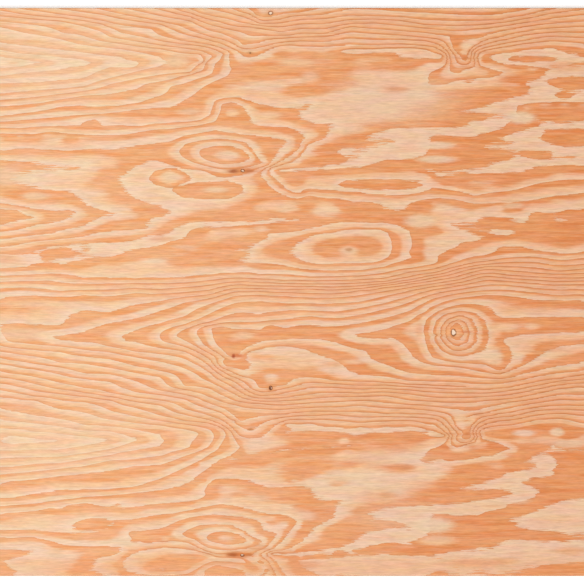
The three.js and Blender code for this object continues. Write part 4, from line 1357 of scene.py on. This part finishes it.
def turnRound(x, y):
    # The ring ends' part of the field: each adds its turn times the angle round it, as a share of a
    # circle.
    total = np.zeros_like(x)
    for endX, endY, turn in ringEnds:
        total += turn * np.arctan2((x - endX) / drawing["stretch"], y - endY) / (2 * np.pi)
    return total


def softDistance(a, b):
    # The distance between places, rounded off where they meet.
    apart = (a[:, :1] - b[:, 0]) ** 2 + (a[:, 1:] - b[:, 1]) ** 2
    return np.sqrt(apart + drawing["roundness"] ** 2)


def slope(places):
    # What the sloping plane's three weights multiply: 1, and the two parts of the place.
    return np.column_stack([np.ones(len(places)), places / drawing["plane"]])


def patchField(known, levels):
    # A smooth field through one patch's points: at a place, a sloping plane less the sum of every
    # point's weight times its soft distance. The weights solve one set of equations.
    count = len(known)
    table = np.zeros((count + 3, count + 3))
    table[:count, :count] = drawing["slack"] * np.eye(count) - softDistance(known, known)
    table[:count, count:] = slope(known)
    table[count:, :count] = slope(known).T
    return np.linalg.solve(table, np.append(levels, np.zeros(3)))


def tracedField():
    # The drawing in overlapping patches, each with a smooth field of its own through its points. A
    # place takes the mean of its patches' fields, each weighted by squared cosines that reach 0 at
    # its edge.
    places, levels = tracedPoints()
    squeeze = np.array([1 / drawing["stretch"], 1.0])
    cells = np.round(places * squeeze / drawing["nearest"]).astype(int)
    kept = np.sort(np.unique(cells, axis=0, return_index=True)[1])
    known = places[kept] * squeeze
    levels = levels[kept] - turnRound(*places[kept].T)
    reach = drawing["patchReach"]
    patches = []
    for middle in np.stack(np.meshgrid(drawing["patchX"], drawing["patchY"]), axis=-1).reshape(-1, 2):
        near = (np.abs(known - middle) < reach).all(axis=1)
        patches.append((middle, known[near], patchField(known[near], levels[near])))

    def field(x, y):
        asked = np.column_stack([x, y]) * squeeze
        total, share = np.zeros(len(asked)), np.zeros(len(asked))
        for middle, points, weights in patches:
            offset = np.abs(asked - middle) / reach
            inside = np.flatnonzero((offset < 1).all(axis=1))
            bump = np.prod(np.cos(offset[inside] * np.pi / 2) ** 2, axis=1)
            found = slope(asked[inside]) @ weights[-3:]
            found -= softDistance(asked[inside], points) @ weights[:-3]
            total[inside] += bump * found
            share[inside] += bump
        return total / share + turnRound(x, y)

    return field, len(known)


ringField, ringPoints = tracedField()
print("ring field solved through", ringPoints, "points")


def faceRings(x, y):
    # The field at each place. Past the drawing's ends the lines run on along the grain: the place
    # keeps the end's x, and slow waves sway it and add rings, more so with the distance past the end.
    unit, middle, width = drawing["unit"], drawing["middle"], drawing["width"]
    swaySeed, ringSeed = drawingEnds["seeds"]
    across, down = middle + x / unit, middle - y / unit
    past = np.maximum(np.abs(across - middle) - width / 2, 0) * unit
    grown = 1 - np.exp(-past / drawingEnds["fade"])
    sway = drawingEnds["sway"] / unit * smoothNoise(swaySeed, x, y, *drawingEnds["swayWaves"])
    added = drawingEnds["rings"] * smoothNoise(ringSeed, x, y, *drawingEnds["ringWaves"])
    down = np.clip(down + grown * sway, *drawing["edges"])
    return ringField(np.clip(across, 0, width), down) + grown * added


faceLow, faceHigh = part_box("face_veneer")
# Above each ring end the field steps by one ring. A very narrow column of the grid holds the step.
cutX = (ringEnds[0][0] - drawing["middle"]) * drawing["unit"]
facePiece = plyPiece("peeledFace", faceLow, faceHigh, faceVeneer,
                     [(cutX - drawing["cut"], cutX + drawing["cut"])])
addRings(facePiece, faceRings)
addBakeMap(facePiece, faceLow, faceHigh)
facePiece.data.materials.append(veneerMaterial("peeled face", faceVeneer, faceLow, faceHigh))
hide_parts("face_veneer")
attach(facePiece, "root")
print("face veneer built:", len(facePiece.data.vertices), "points", len(facePiece.data.polygons),
      "faces")


backVeneer = {
    "columns": [(9.0, 0.02)],
    "rows": [(9.0, 0.007)],
    "knots": [],
    "blocks": [],
    "brightPart": ("f2d6b0", "eecca2"),
    "palePart": ("f0cfa4", "ebc598"),
    "orangePart": ("e2ad7b", "dca471"),
    "deepPart": ("dca070", "d49a66"),
    "darkLine": ("c98f5e", "c08553"),
    "roughness": 0.70,
    "stains": [],
    "logTurn": 803.31 * mm,      # what the knife peels in one turn of the log
    "rise": 180 * mm,            # y where it goes into deeper rings, once a turn
    "fall": 0.673,               # share of a turn until it comes out of them
    "steepness": 17.183 * mm,    # how gradually it does both
    "ringsCrossed": 10.5,
    "bend": 20 * mm,             # how far slow waves bend the rings across the grain
    "bendWaves": (1.6, 0.5),     # their length along and across it, in metres
    "drift": 0.8,                # how many rings other waves add
    "driftWaves": (0.55, 0.09),
    "seeds": (71, 72),
}


def backRings(x, y):
    # The ring that the knife is in: once a turn of the log, the number climbs by ringsCrossed along a
    # soft step, and falls as far along another. Slow waves are added.
    look = backVeneer
    bendSeed, driftSeed = look["seeds"]
    bent = y + look["bend"] * smoothNoise(bendSeed, x, y, *look["bendWaves"])
    total = np.zeros_like(x)
    for count in range(-3, 4):
        for share, change in ((0, 1), (look["fall"], -1)):
            past = bent - look["rise"] - (count + share) * look["logTurn"]
            total += change / (1 + np.exp(-past / look["steepness"]))
    drift = look["drift"] * smoothNoise(driftSeed, x, y, *look["driftWaves"])
    return look["ringsCrossed"] * total + drift


def turnOver(piece, low, high):
    # The piece is turned upside down about the long axis through its middle.
    places = meshPlaces(piece.data)
    places[:, 1] = low.y + high.y - places[:, 1]
    places[:, 2] = low.z + high.z - places[:, 2]
    piece.data.vertices.foreach_set("co", places.ravel())
    piece.data.update()


backLow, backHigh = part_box("back_veneer")
backPiece = plyPiece("peeledBack", backLow, backHigh, backVeneer)
turnOver(backPiece, backLow, backHigh)
addRings(backPiece, backRings)
addBakeMap(backPiece, backLow, backHigh)
backPiece.data.materials.append(veneerMaterial("peeled back", backVeneer, backLow, backHigh))
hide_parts("back_veneer")
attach(backPiece, "root")
print("back veneer built:", len(backPiece.data.vertices), "points")


innerWood = {
    "shown": "fae2c8",  # the clean pale wood of the broad sides, which only an open knot shows
    "roughness": 0.8,
    "specular": 0.25,
    "bump": {"Strength": 0.5, "Distance": 0.4 * mm},
}
innerPlies = {
    # node: fibres along Y, side colour, end colour
    "lower_crossband": (True, "dfb182", "bd8557"),
    "lower_long_ply": (False, "efcda2", "cf9a6a"),
    "core_ply": (True, "dcab7a", "b97f50"),
    "upper_long_ply": (False, "eccb9f", "cb9565"),
    "upper_crossband": (True, "e0b385", "c08859"),
}
# Where an open knot shows the ply below: the decayed heart of the knot below the middle, and others
# with a little bark left.
holeFloors = {
    "upper_crossband": [
        (-46.6, -206.4, 2.4, 3.6, 0.7, 1.2, 0.9, "8a420e"),
        (-104.4, 262.2, 2.0, 1.2, 0.3, 1.2, 0.7, "94582e"),
        (-107.6, -563.8, 2.6, 1.0, 0.3, 1.2, 0.5, "a4622e"),
    ],
}


def plyMaterial(node, low, high):
    # Sawn edges all round, with the pattern turned where the fibres run along Y, and clean wood on
    # the broad sides.
    crossGrain, sideColour, endColour = innerPlies[node]
    material, tree, shader = newMaterial(node.replace("_", " "))
    place, normal = objectPlace(tree)
    along = place
    if crossGrain:
        along = addNode(tree, "ShaderNodeMapping",
                        {"Vector": place, "Rotation": (0, 0, math.pi / 2)}).outputs[0]
    edge = placeGroup(tree, edgeGroup, {
        "Place": along, "End grain": facing(tree, normal, 1 if crossGrain else 0),
        "Height": parts(tree, place)[2], "Underside": low.z / mm, "Top": high.z / mm,
        "Side colour": tint(sideColour), "End colour": tint(endColour)})
    shown = tint(innerWood["shown"])
    if node in holeFloors:
        shown = layStains(tree, shown, place, holeFloors[node])
    colour = blendColours(tree, facing(tree, normal, 2), edge["Colour"], shown)
    bump = addNode(tree, "ShaderNodeBump", {"Height": edge["Relief"], **innerWood["bump"]}).outputs[0]
    tree.links.new(colour, shader.inputs["Base Color"])
    tree.links.new(bump, shader.inputs["Normal"])
    shader.inputs["Roughness"].default_value = innerWood["roughness"]
    shader.inputs["Specular IOR Level"].default_value = innerWood["specular"]
    return material


for node in innerPlies:
    plyLow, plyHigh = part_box(node)
    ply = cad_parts[node]
    ply.data.materials.clear()
    ply.data.materials.append(plyMaterial(node, plyLow, plyHigh))
print("inner plies finished")


studio = {
    "floorReach": 30.0,
    "floorLift": 0.15,      # what the camera sees of the floor is lifted, so a faint shade is white
    "skyStrength": 0.45,
    "lampShare": 0.55,      # of the light on a level surface, how much comes from the soft lamp
    "lampTilt": (16, -10),  # degrees from straight down, about X and Y
    "lampSpread": 40,       # degrees
    "cameraHeight": 3.502,
    "viewWidth": 1254.37 * mm,  # how much of the sheet's top the view takes in
    "sensor": 36.0,
}
white = (1, 1, 1, 1)

reach = studio["floorReach"]
floorMesh = bpy.data.meshes.new("floor")
floorCorners = [(-reach, -reach, 0), (reach, -reach, 0), (reach, reach, 0), (-reach, reach, 0)]
floorMesh.from_pydata(floorCorners, [], [(0, 1, 2, 3)])
floor = bpy.data.objects.new("floor", floorMesh)
bpy.context.scene.collection.objects.link(floor)
floorMaterial, floorTree, floorShader = newMaterial("pale floor")
seen = addNode(floorTree, "ShaderNodeLightPath").outputs["Is Camera Ray"]
lift = sums(floorTree, "MULTIPLY", seen, studio["floorLift"])
floorTree.links.new(lift, floorShader.inputs["Emission Strength"])
for socket, value in (("Base Color", white), ("Roughness", 1.0), ("Specular IOR Level", 0.0),
                      ("Emission Color", white)):
    floorShader.inputs[socket].default_value = value
floorMesh.materials.append(floorMaterial)

world = bpy.data.worlds.new("soft studio")
world.use_nodes = True
background = world.node_tree.nodes["Background"]
background.inputs["Color"].default_value = white
background.inputs["Strength"].default_value = studio["skyStrength"]
bpy.context.scene.world = world

tiltX, tiltY = [math.radians(angle) for angle in studio["lampTilt"]]
lampData = bpy.data.lights.new("soft lamp", "SUN")
lampData.angle = math.radians(studio["lampSpread"])
lampData.energy = math.pi * studio["lampShare"] / (math.cos(tiltX) * math.cos(tiltY))
lamp = bpy.data.objects.new("soft lamp", lampData)
lamp.rotation_euler = (tiltX, tiltY, 0)
bpy.context.scene.collection.objects.link(lamp)

cameraData = bpy.data.cameras.new("camera")
cameraData.sensor_width = studio["sensor"]
cameraData.lens = studio["sensor"] * (studio["cameraHeight"] - cadHigh.z) / studio["viewWidth"]
camera = bpy.data.objects.new("camera", cameraData)
camera.location = (0, 0, studio["cameraHeight"])
bpy.context.scene.collection.objects.link(camera)
bpy.context.scene.camera = camera
bpy.context.scene.view_settings.view_transform = "Standard"
print("studio set")
